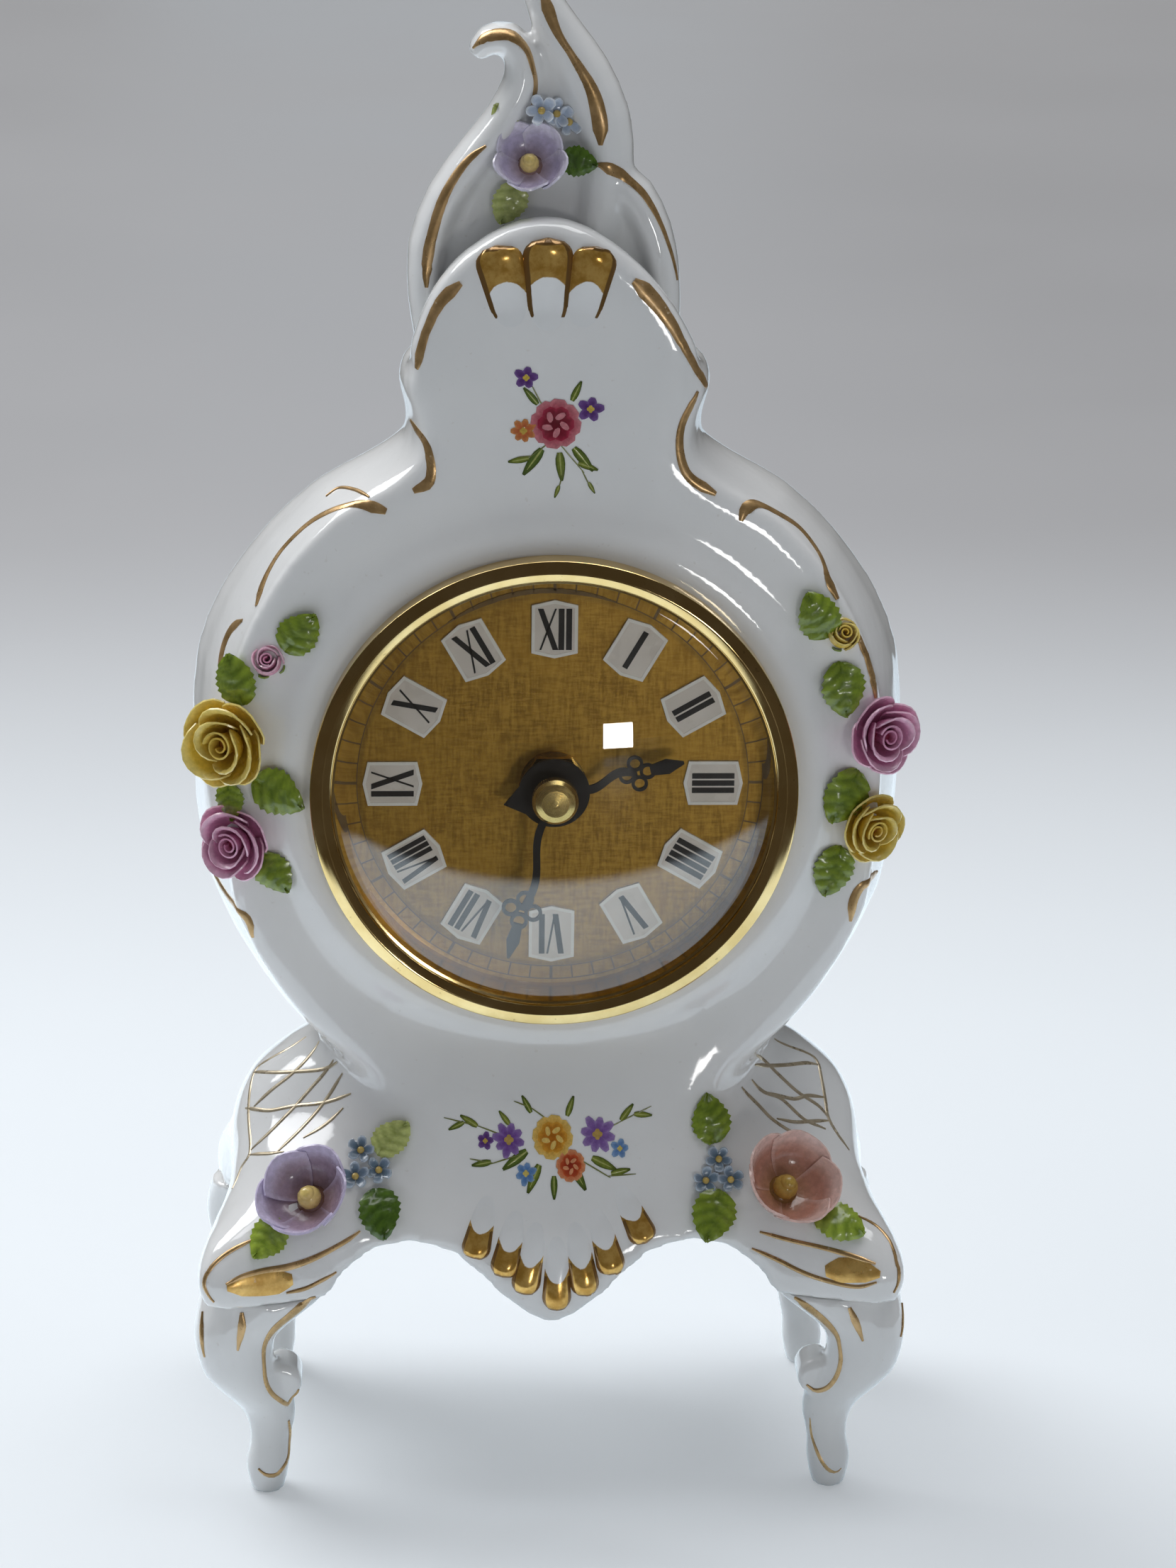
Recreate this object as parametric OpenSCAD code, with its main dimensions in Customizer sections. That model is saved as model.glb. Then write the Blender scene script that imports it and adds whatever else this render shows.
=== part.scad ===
// Porcelain mantel clock: a hollow glazed case on four scroll legs, with hand-built flowers,
// a brass bezel with domed glass, a gilt dial with serpentine hands and a battery movement.
// It stands on the plane z = 0, its dial faces -Y and its width runs along X.
// Pieces of the dial and movement are drawn with their own z axis towards the viewer.

/* [Case] */
// Width over the flared base corners
case_w = 128; // [122:1:136]
// Depth over the flared base corners
case_d = 71; // [68:1:76]
// Height of the shield's top edge over the floor
shield_h = 229.5; // [226:0.5:234]
// Height of the body's underside over the floor
leg_h = 40; // [36:1:44]
// Height of the dial's centre over the body's underside
dial_h = 90; // [88:0.5:92]
// Thickness of the porcelain wall
wall = 4.5; // [3.8:0.1:5]
// Height of the crest over the shield's ledge
crest_h = 70; // [60:1:80]
// Thickness of the crest from front to back
crest_t = 15; // [12:0.5:16]
// Width of a leg at its top
leg_w = 23.2; // [21:0.2:25]
// Radius of the opening in the back
access_r = 39; // [37:0.5:40]

/* [Insert] */
// Outer radius of the brass bezel
bezel_r = 42.5; // [42:0.1:43.5]
// Visible radius inside the bezel
sight_r = 38.3; // [37.8:0.1:38.5]
// Height of the bezel over its seat
bezel_h = 5; // [4.6:0.1:5.6]
// Outer radius of the metal pan behind the dial
pan_r = 39.6; // [39.4:0.1:39.8]
// Sheet thickness of the pan
pan_t = 0.8; // [0.5:0.1:1]
// Depth of the dial's face behind the bezel's seat
dial_depth = 4.6; // [4.2:0.1:5]
// Thickness of the dial plate
dial_t = 0.6; // [0.4:0.1:0.8]
// Rise of the domed glass over its edge
glass_rise = 9; // [8:0.25:10]
// Thickness of the glass
glass_t = 1.2; // [1:0.1:1.5]
// Radius of the ring of numerals
numeral_ring_r = 28; // [27:0.25:29]
// Length of a numeral plaque along the radius
plaque_l = 10.4; // [9.5:0.1:11]
// Width of a numeral plaque
plaque_w = 8.2; // [7:0.1:9]

/* [Hands] */
// Length of the minute hand
minute_l = 30.5; // [28:0.25:32]
// Length of the hour hand
hour_l = 23.1; // [21:0.25:24]
// Thickness of both hands
hand_t = 0.5; // [0.4:0.05:0.6]
// Hour that the hands show
shown_hour = 2; // [0:1:11]
// Minute that the hands show
shown_minute = 32.5; // [0:0.5:59.5]
// Radius of the brass hand nut
hand_nut_r = 4; // [3.5:0.1:4.5]
// Height of the brass hand nut
hand_nut_h = 3.6; // [3:0.1:4]

/* [Movement] */
// Width and height of the movement housing
housing_w = 56; // [55.6:0.1:56.4]
// Depth of the movement housing
housing_d = 16; // [15.8:0.1:16.5]
// Wall of the movement housing
housing_wall = 1.2; // [1:0.1:1.3]
// Diameter of the AA cell
cell_d = 14.5; // [14.2:0.1:14.5]
// Length of the AA cell
cell_l = 50.5; // [49.5:0.1:50.5]
// Radius of the threaded bush that holds the movement to the dial
bush_r = 4; // [3.8:0.1:4.2]
// Radius of the minute arbor
arbor_r = 1.5; // [1.4:0.05:1.6]
// Radius of the hour sleeve
sleeve_r = 2.6; // [2.5:0.05:2.8]
// Radius of the setting knob at the back
knob_r = 7; // [6:0.25:8]

/* [Flowers] */
// Radius of an open rose
rose_r = 7.8; // [7:0.2:8.2]
// Radius of an open cup flower on the base
cup_r = 8.6; // [8:0.2:9]
// Radius of the cup flower on the crest
crest_cup_r = 6; // [5:0.25:6.5]
// Radius of a small blue flower
small_r = 2.6; // [2.2:0.1:3]
// Length of a leaf
leaf_l = 9.6; // [9:0.2:10.2]

/* [Hidden] */

// Clearances and overruns
over = 1;
seat_gap = 0.05;
run_gap = 0.05;
push_gap = 0.02;
free_gap = 0.3;
embed = 1;

// Porcelain body, in shares of half the width, half the depth and the height over the legs.
// Each row is height, front centre, panel edge x and y, diagonal x and y, side x and y,
// back corner x and y, back centre.
half_w = case_w / 2;
half_d = case_d / 2;
body_h = shield_h - leg_h;
body_shares = [
  [-0.031, 0.845, 0.516, 0.803, 0.938, 0.948, 0.875, 0, 0.9, 0.944, 0.845],
  [0, 0.859, 0.516, 0.817, 0.961, 0.97, 0.885, 0, 0.925, 0.966, 0.859],
  [0.031, 0.845, 0.516, 0.803, 0.977, 0.978, 0.89, 0, 0.915, 0.972, 0.845],
  [0.058, 0.803, 0.5, 0.761, 0.93, 0.887, 0.895, 0, 0.865, 0.9, 0.817],
  [0.084, 0.718, 0.453, 0.682, 0.797, 0.718, 0.9, 0.028, 0.825, 0.817, 0.789],
  [0.115, 0.634, 0.414, 0.592, 0.68, 0.493, 0.89, 0.085, 0.775, 0.761, 0.761],
  [0.147, 0.552, 0.398, 0.513, 0.609, 0.296, 0.845, 0.141, 0.715, 0.704, 0.718],
  [0.173, 0.49, 0.414, 0.459, 0.578, 0.211, 0.75, 0.169, 0.633, 0.648, 0.676],
  [0.194, 0.445, 0.461, 0.423, 0.578, 0.197, 0.633, 0.169, 0.578, 0.606, 0.642],
  [0.225, 0.394, 0.547, 0.38, 0.656, 0.239, 0.727, 0.197, 0.664, 0.592, 0.62],
  [0.267, 0.361, 0.664, 0.355, 0.75, 0.254, 0.828, 0.225, 0.758, 0.577, 0.62],
  [0.351, 0.355, 0.805, 0.352, 0.875, 0.254, 0.953, 0.225, 0.898, 0.577, 0.62],
  [0.471, 0.355, 0.836, 0.352, 0.903, 0.254, 0.981, 0.225, 0.93, 0.577, 0.62],
  [0.565, 0.355, 0.82, 0.352, 0.888, 0.254, 0.966, 0.225, 0.914, 0.577, 0.62],
  [0.628, 0.355, 0.758, 0.352, 0.825, 0.254, 0.898, 0.211, 0.844, 0.563, 0.606],
  [0.686, 0.355, 0.656, 0.352, 0.723, 0.254, 0.786, 0.197, 0.727, 0.521, 0.577],
  [0.733, 0.355, 0.523, 0.352, 0.594, 0.254, 0.648, 0.169, 0.594, 0.479, 0.549],
  [0.759, 0.355, 0.391, 0.352, 0.461, 0.254, 0.523, 0.141, 0.469, 0.451, 0.521],
  [0.788, 0.355, 0.305, 0.352, 0.364, 0.254, 0.406, 0.113, 0.359, 0.423, 0.493],
  [0.822, 0.355, 0.313, 0.352, 0.375, 0.254, 0.406, 0.099, 0.352, 0.38, 0.451],
  [0.848, 0.355, 0.344, 0.352, 0.402, 0.254, 0.425, 0.085, 0.367, 0.352, 0.423],
  [0.869, 0.355, 0.32, 0.352, 0.375, 0.254, 0.398, 0.085, 0.344, 0.338, 0.408]
];
ledge_z = leg_h + body_h * 0.869;
face_y = -half_d * 0.355;
plate_back_y = -half_d * 0.113;
plate_root = 4;

// Shield plate outline: height share over the ledge, half width share and lean share
shield_shares = [
  [-0.16, 0.352, 0], [0.05, 0.384, -0.008], [0.22, 0.363, -0.014], [0.4, 0.33, -0.022],
  [0.58, 0.283, -0.029], [0.75, 0.219, -0.033], [0.89, 0.142, -0.034], [0.97, 0.075, -0.034],
  [1, 0.02, -0.034]
];

// Front and back lower edge of the base, as shares of half the width and the body's height
edge_shares = [
  [0, -0.03], [0.06, -0.022], [0.13, -0.003], [0.19, 0.017], [0.28, 0.04], [0.39, 0.05],
  [0.5, 0.042], [0.58, 0.022], [0.625, 0], [1.1, 0]
];
side_arch_r = half_d * 0.85;
side_arch_rise = body_h * 0.03;

// Leg sections: height share, then centre and radius in shares of the leg's width along X and Y
leg_shares = [
  [0, -0.01, 0.129, 0, 0.129], [0.05, -0.01, 0.15, 0, 0.145], [0.14, -0.015, 0.175, 0.005, 0.17],
  [0.24, -0.035, 0.155, 0, 0.151], [0.34, -0.045, 0.185, -0.01, 0.165],
  [0.42, -0.015, 0.22, 0.01, 0.181], [0.5, 0.06, 0.265, 0.05, 0.216],
  [0.6, 0.172, 0.293, 0.09, 0.241], [0.7, 0.22, 0.297, 0.11, 0.25], [0.8, 0.224, 0.319, 0.11, 0.267],
  [0.9, 0.116, 0.409, 0.06, 0.323], [0.95, 0.043, 0.461, 0.02, 0.358], [1, -0.013, 0.5, -0.02, 0.388]
];
foot_x = half_w * 0.802;
foot_y = half_d * 0.69;
volute_r = leg_w * 0.15;
volute_l = leg_w * 0.36;

// Crest scrolls as x, height, half width and half depth, in shares of the crest's height and depth
left_scroll_shares = [
  [-0.285, -0.06, 0.045, 0.42], [-0.3, 0.03, 0.046, 0.43], [-0.315, 0.13, 0.047, 0.44], [-0.315, 0.26, 0.048, 0.45],
  [-0.27, 0.38, 0.048, 0.46], [-0.2, 0.48, 0.048, 0.46], [-0.13, 0.57, 0.047, 0.45],
  [-0.09, 0.65, 0.045, 0.43], [-0.085, 0.71, 0.044, 0.4], [-0.12, 0.76, 0.042, 0.37],
  [-0.17, 0.755, 0.036, 0.33], [-0.2, 0.72, 0.024, 0.24]
];
plume_shares = [
  [0.065, 0.18, 0.045, 0.27], [0.1, 0.33, 0.06, 0.36], [0.12, 0.45, 0.07, 0.4], [0.105, 0.57, 0.075, 0.42],
  [0.06, 0.68, 0.07, 0.4], [0, 0.78, 0.058, 0.36], [-0.05, 0.88, 0.04, 0.28], [-0.085, 0.97, 0.016, 0.16]
];
right_lobe_shares = [
  [0.258, -0.06, 0.045, 0.4], [0.262, 0.06, 0.047, 0.42], [0.258, 0.2, 0.048, 0.44], [0.235, 0.3, 0.05, 0.44],
  [0.19, 0.385, 0.052, 0.42], [0.13, 0.43, 0.045, 0.36], [0.07, 0.44, 0.03, 0.26]
];
web_shares = [
  [-0.3, -0.04], [-0.32, 0.15], [-0.3, 0.31], [-0.23, 0.45], [-0.12, 0.58], [-0.08, 0.66],
  [-0.045, 0.78], [0, 0.78], [0.1, 0.55], [0.12, 0.44], [0.2, 0.36], [0.25, 0.25], [0.27, 0.1], [0.26, -0.04]
];
web_t = crest_t * 0.35;

// Dial and insert, measured along the dial's own axis with zero at the dial's face
dial_z = leg_h + dial_h;
collar_h = 2;
seat_y = face_y - collar_h;
dial_y = seat_y + dial_depth;
seat_h = dial_depth;
bore_r = pan_r + 0.4;
collar_r = bezel_r + 9;
flange_r = bezel_r - 1;
flange_t = 0.6;
lip_h = 1.9;
glass_r = pan_r - 0.6;
glass_rim = 0.6;
glass_edge_h = seat_h + bezel_h - lip_h - glass_rim - 0.5;
glass_sphere_r = (glass_r * glass_r + glass_rise * glass_rise) / (2 * glass_rise);
glass_centre = glass_edge_h + glass_rim + glass_rise - glass_sphere_r;
pan_back = -dial_t - pan_t;
pan_wall = 0.5;
plaque_t = 0.5;

// Fixing through the dial
washer_t = 0.8;
washer_r = 9;
brass_washer_t = 0.4;
brass_washer_r = 5.8;
hex_nut_h = 2.2;
hex_nut_r = 6;
bush_top = brass_washer_t + hex_nut_h + 1.2;
bush_flange_r = 5.5;
bush_flange_t = 0.8;
hour_hand_h = 5.4;
minute_hand_h = 8;
arbor_top = minute_hand_h + hand_t + hand_nut_h * 0.7;

// Movement, measured behind the dial's face
housing_top = pan_back - washer_t;
chamber_top = housing_top - housing_wall;
housing_bottom = housing_top - housing_d;
lid_t = 1.4;
lid_inside = housing_bottom + lid_t;
cell_r = cell_d / 2;
bay_h = cell_d + 0.5;
bay_y = -housing_w / 2 + housing_wall - 0.2 + bay_h / 2;
bay_wall = 1;
partition_y = bay_y + bay_h / 2;
cell_gap = 0.2;
cell_h = chamber_top - cell_gap - cell_r;

// Clamps that draw the pan against the case
stud_x = housing_w / 2 + 5.5;
stud_r = 1.5;
stud_collar_r = 2.6;
pad_x = bore_r + 3.6;
pad_r = 2;
pad_t = 1.2;
inner_face = -(face_y + wall - dial_y) - seat_gap;
strip_t = 1.2;
strip_w = 7;
clamp_nut_r = 3.6;
clamp_nut_h = 3;

// Gears: tooth counts, modules, thicknesses and places
tooth_add = 0.8;
tooth_ded = 1.25;
tooth_root_share = 0.42;
tooth_mid_share = 0.3;
tooth_tip_share = 0.14;
wheel_t = 0.8;
pinion_t = 1.2;
plane_gap = 0.4;
cannon_n = 12;
minute_n = 36;
minute_pinion_n = 10;
hour_n = 40;
setting_n = 12;
motion_m = 0.35;
hour_m = motion_m * (cannon_n + minute_n) / (minute_pinion_n + hour_n);
centre_n = 80;
third_pinion_n = 8;
third_n = 60;
fourth_pinion_n = 8;
fourth_n = 64;
rotor_pinion_n = 8;
train_m = 0.2;
rotor_m = 0.16;
minute_turn = 150;
setting_turn = 125;
third_turn = 30;
fourth_turn = 60;
rotor_turn = 100;
minute_at = polar(motion_m * (cannon_n + minute_n) / 2, minute_turn);
setting_at = minute_at + polar(motion_m * (minute_n + setting_n) / 2, setting_turn);
third_at = polar(train_m * (centre_n + third_pinion_n) / 2, third_turn);
fourth_at = third_at + polar(train_m * (third_n + fourth_pinion_n) / 2, fourth_turn);
rotor_at = fourth_at + polar(rotor_m * (fourth_n + rotor_pinion_n) / 2, rotor_turn);
minute_phase = mesh_phase(minute_turn, 0, cannon_n, minute_n);
hour_phase = mesh_phase(minute_turn + 180, 0, minute_pinion_n, hour_n);
setting_phase = mesh_phase(setting_turn, minute_phase, minute_n, setting_n);
third_phase = mesh_phase(third_turn, 0, centre_n, third_pinion_n);
fourth_phase = mesh_phase(fourth_turn, 0, third_n, fourth_pinion_n);
rotor_phase = mesh_phase(rotor_turn, 0, fourth_n, rotor_pinion_n);
hour_plane = chamber_top - bush_flange_t - plane_gap;
cannon_plane = hour_plane - wheel_t - plane_gap;
centre_plane = cannon_plane - pinion_t - plane_gap;
third_plane = centre_plane - pinion_t - plane_gap;
fourth_plane = third_plane - pinion_t - plane_gap;
magnet_plane = fourth_plane - pinion_t - plane_gap;
pin_r = 0.5;
pivot_r = 0.25;
magnet_r = 2.4;
magnet_t = 1.4;
stator_t = 0.8;
stator_w = 5;
coil_r = 3.2;
coil_l = 17;
coil_core_r = 1;
coil_y = housing_w / 2 - housing_wall - coil_r - 1;
coil_x = -3;
stator_mid = magnet_plane - magnet_t / 2;
coil_left = coil_x - coil_l / 2;
coil_right = coil_x + coil_l / 2;
post_r = 1.2;
stator_left_post = [coil_left - stator_w / 2, rotor_at[1] + stator_w / 2];
stator_right_post = [coil_right + stator_w / 2, coil_y - coil_core_r];
board_w = 15;
board_l = 13;
board_t = 0.8;
knob_h = 4;
shaft_r = 1.2;
contact_w = 9;
contact_t = 0.4;
contact_bump_r = 1.2;

minute_angle = -6 * shown_minute;
hour_angle = -30 * shown_hour - shown_minute / 2;

// Functions
function polar(r, a) = [r * cos(a), r * sin(a)];
function mesh_phase(line, phase, teeth, next_teeth) =
  line + 180 - (phase - line) * teeth / next_teeth - 180 / next_teeth;
function spline(a, b, c, d, t) =
  b + (c - a) * 0.4 * (t - 2 * t * t + t * t * t)
    + (c - b) * (3 * t * t - 2 * t * t * t)
    + (d - b) * 0.4 * (t * t * t - t * t);
function spline_row(rows, i, t) =
  let (last = len(rows) - 1)
  spline(rows[max(i - 1, 0)], rows[i], rows[min(i + 1, last)], rows[min(i + 2, last)], t);
function smooth_rows(rows, steps) = [
  for (i = [0 : len(rows) - 2], k = [0 : steps - 1]) spline_row(rows, i, k / steps),
  rows[len(rows) - 1]
];
function smooth_loop(points, steps) = [
  for (i = [0 : len(points) - 1], k = [0 : steps - 1])
    let (n = len(points))
    spline(points[(i + n - 1) % n], points[i], points[(i + 1) % n], points[(i + 2) % n], k / steps)
];
function body_ring(row, inset, steps) =
  let (
    x = half_w,
    y = half_d,
    right = [
      [row[2] * x - inset * 0.6, -row[3] * y + inset],
      [row[4] * x - inset, -row[5] * y + inset * 0.8],
      [row[6] * x - inset, row[7] * y],
      [row[8] * x - inset, row[9] * y - inset]
    ],
    left = [for (i = [3 : -1 : 0]) [-right[i][0], right[i][1]]],
    outline = concat([[0, -row[1] * y + inset]], right, [[0, row[10] * y - inset]], left)
  )
  [for (p = smooth_loop(outline, steps)) [p[0], p[1], leg_h + body_h * row[0]]];
function ellipse_ring(cx, cy, z, rx, ry, n) =
  [for (i = [0 : n - 1]) [cx + rx * cos(360 * i / n), cy + ry * sin(360 * i / n), z]];
function tube_rings(rows, n) = [
  for (i = [0 : len(rows) - 1])
    let (
      before = rows[max(i - 1, 0)],
      after = rows[min(i + 1, len(rows) - 1)],
      step = [after[0] - before[0], after[1] - before[1]],
      along = step / norm(step)
    )
    [for (k = [0 : n - 1])
      let (c = cos(360 * k / n), s = sin(360 * k / n))
      [
        rows[i][0] + along[1] * c * rows[i][2],
        s * rows[i][3],
        rows[i][1] - along[0] * c * rows[i][2]
      ]]
];
function crest_rows(shares, steps) = [
  for (r = smooth_rows(shares, steps)) [r[0] * crest_h, r[1] * crest_h, r[2] * crest_h, r[3] * crest_t]
];
function gear_points(n, m, phase) = [
  for (i = [0 : n - 1], p = [
      [-tooth_root_share, -tooth_ded], [-tooth_mid_share, 0], [-tooth_tip_share, tooth_add],
      [tooth_tip_share, tooth_add], [tooth_mid_share, 0], [tooth_root_share, -tooth_ded]
    ])
    let (
      pitch_r = n * m / 2,
      r = pitch_r + p[1] * m,
      half_angle = p[0] * m * PI / 2 / max(r, pitch_r * 0.7) * 180 / PI
    )
    polar(r, phase + 360 * i / n + half_angle)
];
function surface_at(s) = [s[0] * half_w, s[1] * half_d, leg_h + s[2] * body_h];
function crest_at(s) = [s[0] * crest_h, plate_back_y + s[1] * crest_t, ledge_z + s[2] * crest_h];
function petal(a, n, sharp) = pow(abs(cos(a * n / 2)), sharp);

// Closed solid through a stack of rings that run counterclockwise seen from the last ring
module loft(rings) {
  n = len(rings[0]);
  points = [for (ring = rings, p = ring) p];
  sides = [
    for (i = [0 : len(rings) - 2], k = [0 : n - 1])
      let (a = i * n + k, b = i * n + (k + 1) % n)
      each [[a, a + n, b + n], [a, b + n, b]]
  ];
  first = [for (k = [0 : n - 1]) k];
  last = [for (k = [n - 1 : -1 : 0]) (len(rings) - 1) * n + k];
  polyhedron(points = points, faces = concat([first], sides, [last]), convexity = 8);
}

module at_dial() {
  translate([0, dial_y, dial_z])
    rotate([90, 0, 0])
      children();
}

// Puts a flower or leaf on the case, facing forwards, turned to the side and tilted up
module planted(at, turn, tilt) {
  translate(at)
    rotate([90 - tilt, 0, turn])
      children();
}

module ring(outer, inner, from, to) {
  translate([0, 0, from])
    difference() {
      cylinder(r = outer, h = to - from, $fn = 96);
      translate([0, 0, -over])
        cylinder(r = inner, h = to - from + 2 * over, $fn = 96);
    }
}

module rod(r, from, to) {
  translate([0, 0, from])
    cylinder(r = r, h = to - from, $fn = 48);
}

module gear(n, m, phase, from, to, bore) {
  translate([0, 0, from])
    difference() {
      linear_extrude(to - from)
        polygon(gear_points(n, m, phase));
      translate([0, 0, -over])
        cylinder(r = bore, h = to - from + 2 * over, $fn = 48);
    }
}

// Case
module body_solid(inset, steps, rows) {
  loft([for (row = rows) body_ring(row, inset, steps)]);
}

module shield_plate() {
  rise = shield_h - ledge_z;
  half = [for (r = smooth_rows(shield_shares, 2)) [r[1] * half_w, ledge_z + rise * r[0], r[2] * half_w]];
  outline = concat(
    [for (p = half) [p[2] + p[0], p[1]]],
    [for (i = [len(half) - 1 : -1 : 0]) [half[i][2] - half[i][0], half[i][1]]]
  );
  centre = [0, ledge_z + rise * 0.3];
  round_shares = [[0, 1], [0.78, 1], [0.93, 0.97], [1, 0.92]];
  loft([
    for (s = round_shares)
      [for (p = outline)
        let (q = centre + (p - centre) * s[1])
        [q[0], plate_back_y + (face_y - plate_back_y) * s[0], q[1]]]
  ]);
}

module dial_collar() {
  lower = face_y + wall * 0.6;
  translate([0, 0, dial_z])
    rotate([90, 0, 0])
      rotate_extrude($fn = 96)
        polygon([
          [bore_r - over, -lower], [bore_r - over, -seat_y], [bezel_r + 1.2, -seat_y],
          [bezel_r + 2.4, -seat_y + 0.3], [bezel_r + 4, -seat_y + 0.1],
          [collar_r - 2, -face_y + 0.5], [collar_r, -face_y - 0.1], [collar_r, -lower]
        ]);
}

module lower_edge_cut() {
  right = [for (s = edge_shares) [s[0] * half_w, leg_h + s[1] * body_h]];
  left = [for (i = [len(right) - 1 : -1 : 1]) [-right[i][0], right[i][1]]];
  low = [[right[len(right) - 1][0], 0], [-right[len(right) - 1][0], 0]];
  translate([0, half_d + over, 0])
    rotate([90, 0, 0])
      linear_extrude(case_d + 2 * over)
        polygon(concat(right, low, left));
}

module side_arch_cut() {
  translate([-half_w - over, 0, leg_h - side_arch_r + side_arch_rise])
    rotate([0, 90, 0])
      cylinder(r = side_arch_r, h = case_w + 2 * over, $fn = 96);
}

module case_shell() {
  outer_rows = smooth_rows(body_shares, 2);
  inner_rows = [for (i = [0 : len(body_shares) - 3]) body_shares[i]];
  opened = [[-0.06, 0.845, 0.516, 0.803, 0.938, 0.944, 0.891, 0, 0.938, 0.944, 0.845]];
  color("ghostwhite")
    difference() {
      union() {
        body_solid(0, 4, outer_rows);
        shield_plate();
        dial_collar();
      }
      body_solid(wall, 2, concat(opened, inner_rows));
      lower_edge_cut();
      side_arch_cut();
      translate([0, 0, dial_z])
        rotate([90, 0, 0])
          cylinder(r = bore_r, h = half_d, $fn = 96);
      translate([0, half_d, dial_z])
        rotate([90, 0, 0])
          cylinder(r = access_r, h = half_d * 0.75, $fn = 96);
    }
}

module crest() {
  middle_y = plate_back_y + crest_t * 0.46 - embed / 2;
  color("ghostwhite")
    translate([0, middle_y, ledge_z])
      difference() {
        union() {
          loft(tube_rings(crest_rows(left_scroll_shares, 2), 12));
          loft(tube_rings(crest_rows(plume_shares, 2), 12));
          loft(tube_rings(crest_rows(right_lobe_shares, 2), 12));
          translate([0, web_t / 2, 0])
            rotate([90, 0, 0])
              linear_extrude(web_t)
                polygon(web_shares * crest_h);
        }
        translate([-crest_h, -crest_t, -crest_t])
          cube([2 * crest_h, 2 * crest_t, crest_t]);
      }
}

module leg(side, depth) {
  rows = smooth_rows(leg_shares, 2);
  rings = [
    for (r = rows)
      ellipse_ring(
        foot_x + r[1] * leg_w, -foot_y - r[3] * leg_w, r[0] * leg_h, r[2] * leg_w, r[4] * leg_w, 16
      )
  ];
  color("ghostwhite")
    mirror([side < 0 ? 1 : 0, 0, 0])
      mirror([0, depth > 0 ? 1 : 0, 0])
        union() {
          loft(rings);
          translate([foot_x - leg_w * 0.14, -foot_y + volute_l / 2, leg_h * 0.565])
            rotate([90, 0, 0])
              cylinder(r = volute_r, h = volute_l, $fn = 48);
        }
}

module leg_front_left() {
  leg(-1, -1);
}

module leg_front_right() {
  leg(1, -1);
}

module leg_back_left() {
  leg(-1, 1);
}

module leg_back_right() {
  leg(1, 1);
}

// Round bar that tapers from one point to another
module strand(from, to, from_r, to_r) {
  way = to - from;
  l = norm(way);
  translate(from)
    rotate([0, acos(way[2] / l), atan2(way[1], way[0])]) {
      sphere(r = from_r, $fn = 32);
      cylinder(r1 = from_r, r2 = to_r, h = l, $fn = 32);
      translate([0, 0, l])
        sphere(r = to_r, $fn = 32);
    }
}

module shield_shell() {
  lobe_shares = [
    [-0.154, 0.9609, 0.066, -0.114, 0.915, 0.026], [-0.028, 0.9673, 0.08, -0.033, 0.915, 0.028],
    [0.099, 0.9623, 0.06, 0.039, 0.9157, 0.024]
  ];
  color("goldenrod")
    for (s = lobe_shares)
      strand(
        [s[0] * half_w, face_y + s[2] * half_w * 0.5, leg_h + s[1] * body_h],
        [s[3] * half_w, face_y + s[5] * half_w * 0.6, leg_h + s[4] * body_h],
        s[2] * half_w,
        s[5] * half_w
      );
}

module apron_shell() {
  low_shares = [
    [-0.211, -0.804, 0.048], [-0.132, -0.835, 0.0315], [-0.073, -0.851, 0.0146], [0.012, -0.856, -0.0013],
    [0.091, -0.85, 0.0126], [0.163, -0.831, 0.0325], [0.249, -0.777, 0.0602]
  ];
  high_shares = [
    [-0.19, -0.715, 0.0815], [-0.104, -0.753, 0.072], [-0.044, -0.785, 0.0629], [0.014, -0.81, 0.0511],
    [0.066, -0.785, 0.0629], [0.124, -0.753, 0.072], [0.2, -0.705, 0.0882]
  ];
  low_r = half_w * 0.036;
  high_r = half_w * 0.014;
  color("gold")
    for (i = [0 : len(low_shares) - 1])
      strand(surface_at(low_shares[i]), surface_at(high_shares[i]), low_r, high_r);
}

// Flowers, drawn with their backs at z = 0 and opening along +z
module rose(r, hue) {
  n = 20;
  ring_shares = [[0.55, -0.14], [0.92, 0.05], [1, 0.3], [0.86, 0.6], [0.62, 0.78], [0.4, 0.86], [0.16, 0.8]];
  color(hue)
    loft([
      for (j = [0 : len(ring_shares) - 1])
        [for (i = [0 : n - 1])
          let (
            a = 360 * i / n,
            swirl = a * 5 + j * 150,
            wave = j > 0 && j < 6 ? 1 + 0.06 * cos(swirl) : 1
          )
          concat(polar(r * ring_shares[j][0] * wave, a), [r * ring_shares[j][1]])]
    ]);
}

module cup_flower(r, hue) {
  n = 24;
  petals = 6;
  ring_shares = [
    [0.26, -0.5, 0], [0.3, -0.1, 0], [0.5, 0.12, 0], [0.84, 0.48, 0.4], [1, 0.84, 1], [0.9, 0.84, 1], [0.68, 0.5, 0.4], [0.3, 0.26, 0]
  ];
  color(hue)
    loft([
      for (s = ring_shares)
        [for (i = [0 : n - 1])
          let (a = 360 * i / n, edge = 1 - s[2] * 0.14 * (1 - petal(a, petals, 0.6)))
          concat(polar(r * s[0] * edge, a), [r * s[1] * edge])]
    ]);
}

module small_flower(r) {
  n = 20;
  petals = 5;
  ring_shares = [[0.4, -0.3, 0], [0.95, 0.1, 1], [1, 0.3, 1], [0.5, 0.35, 0.3], [0.2, 0.5, 0]];
  loft([
    for (s = ring_shares)
      [for (i = [0 : n - 1])
        let (a = 360 * i / n, edge = 1 - s[2] * 0.4 * (1 - petal(a, petals, 0.5)))
        concat(polar(r * s[0] * edge, a), [r * s[1]])]
  ]);
}

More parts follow.
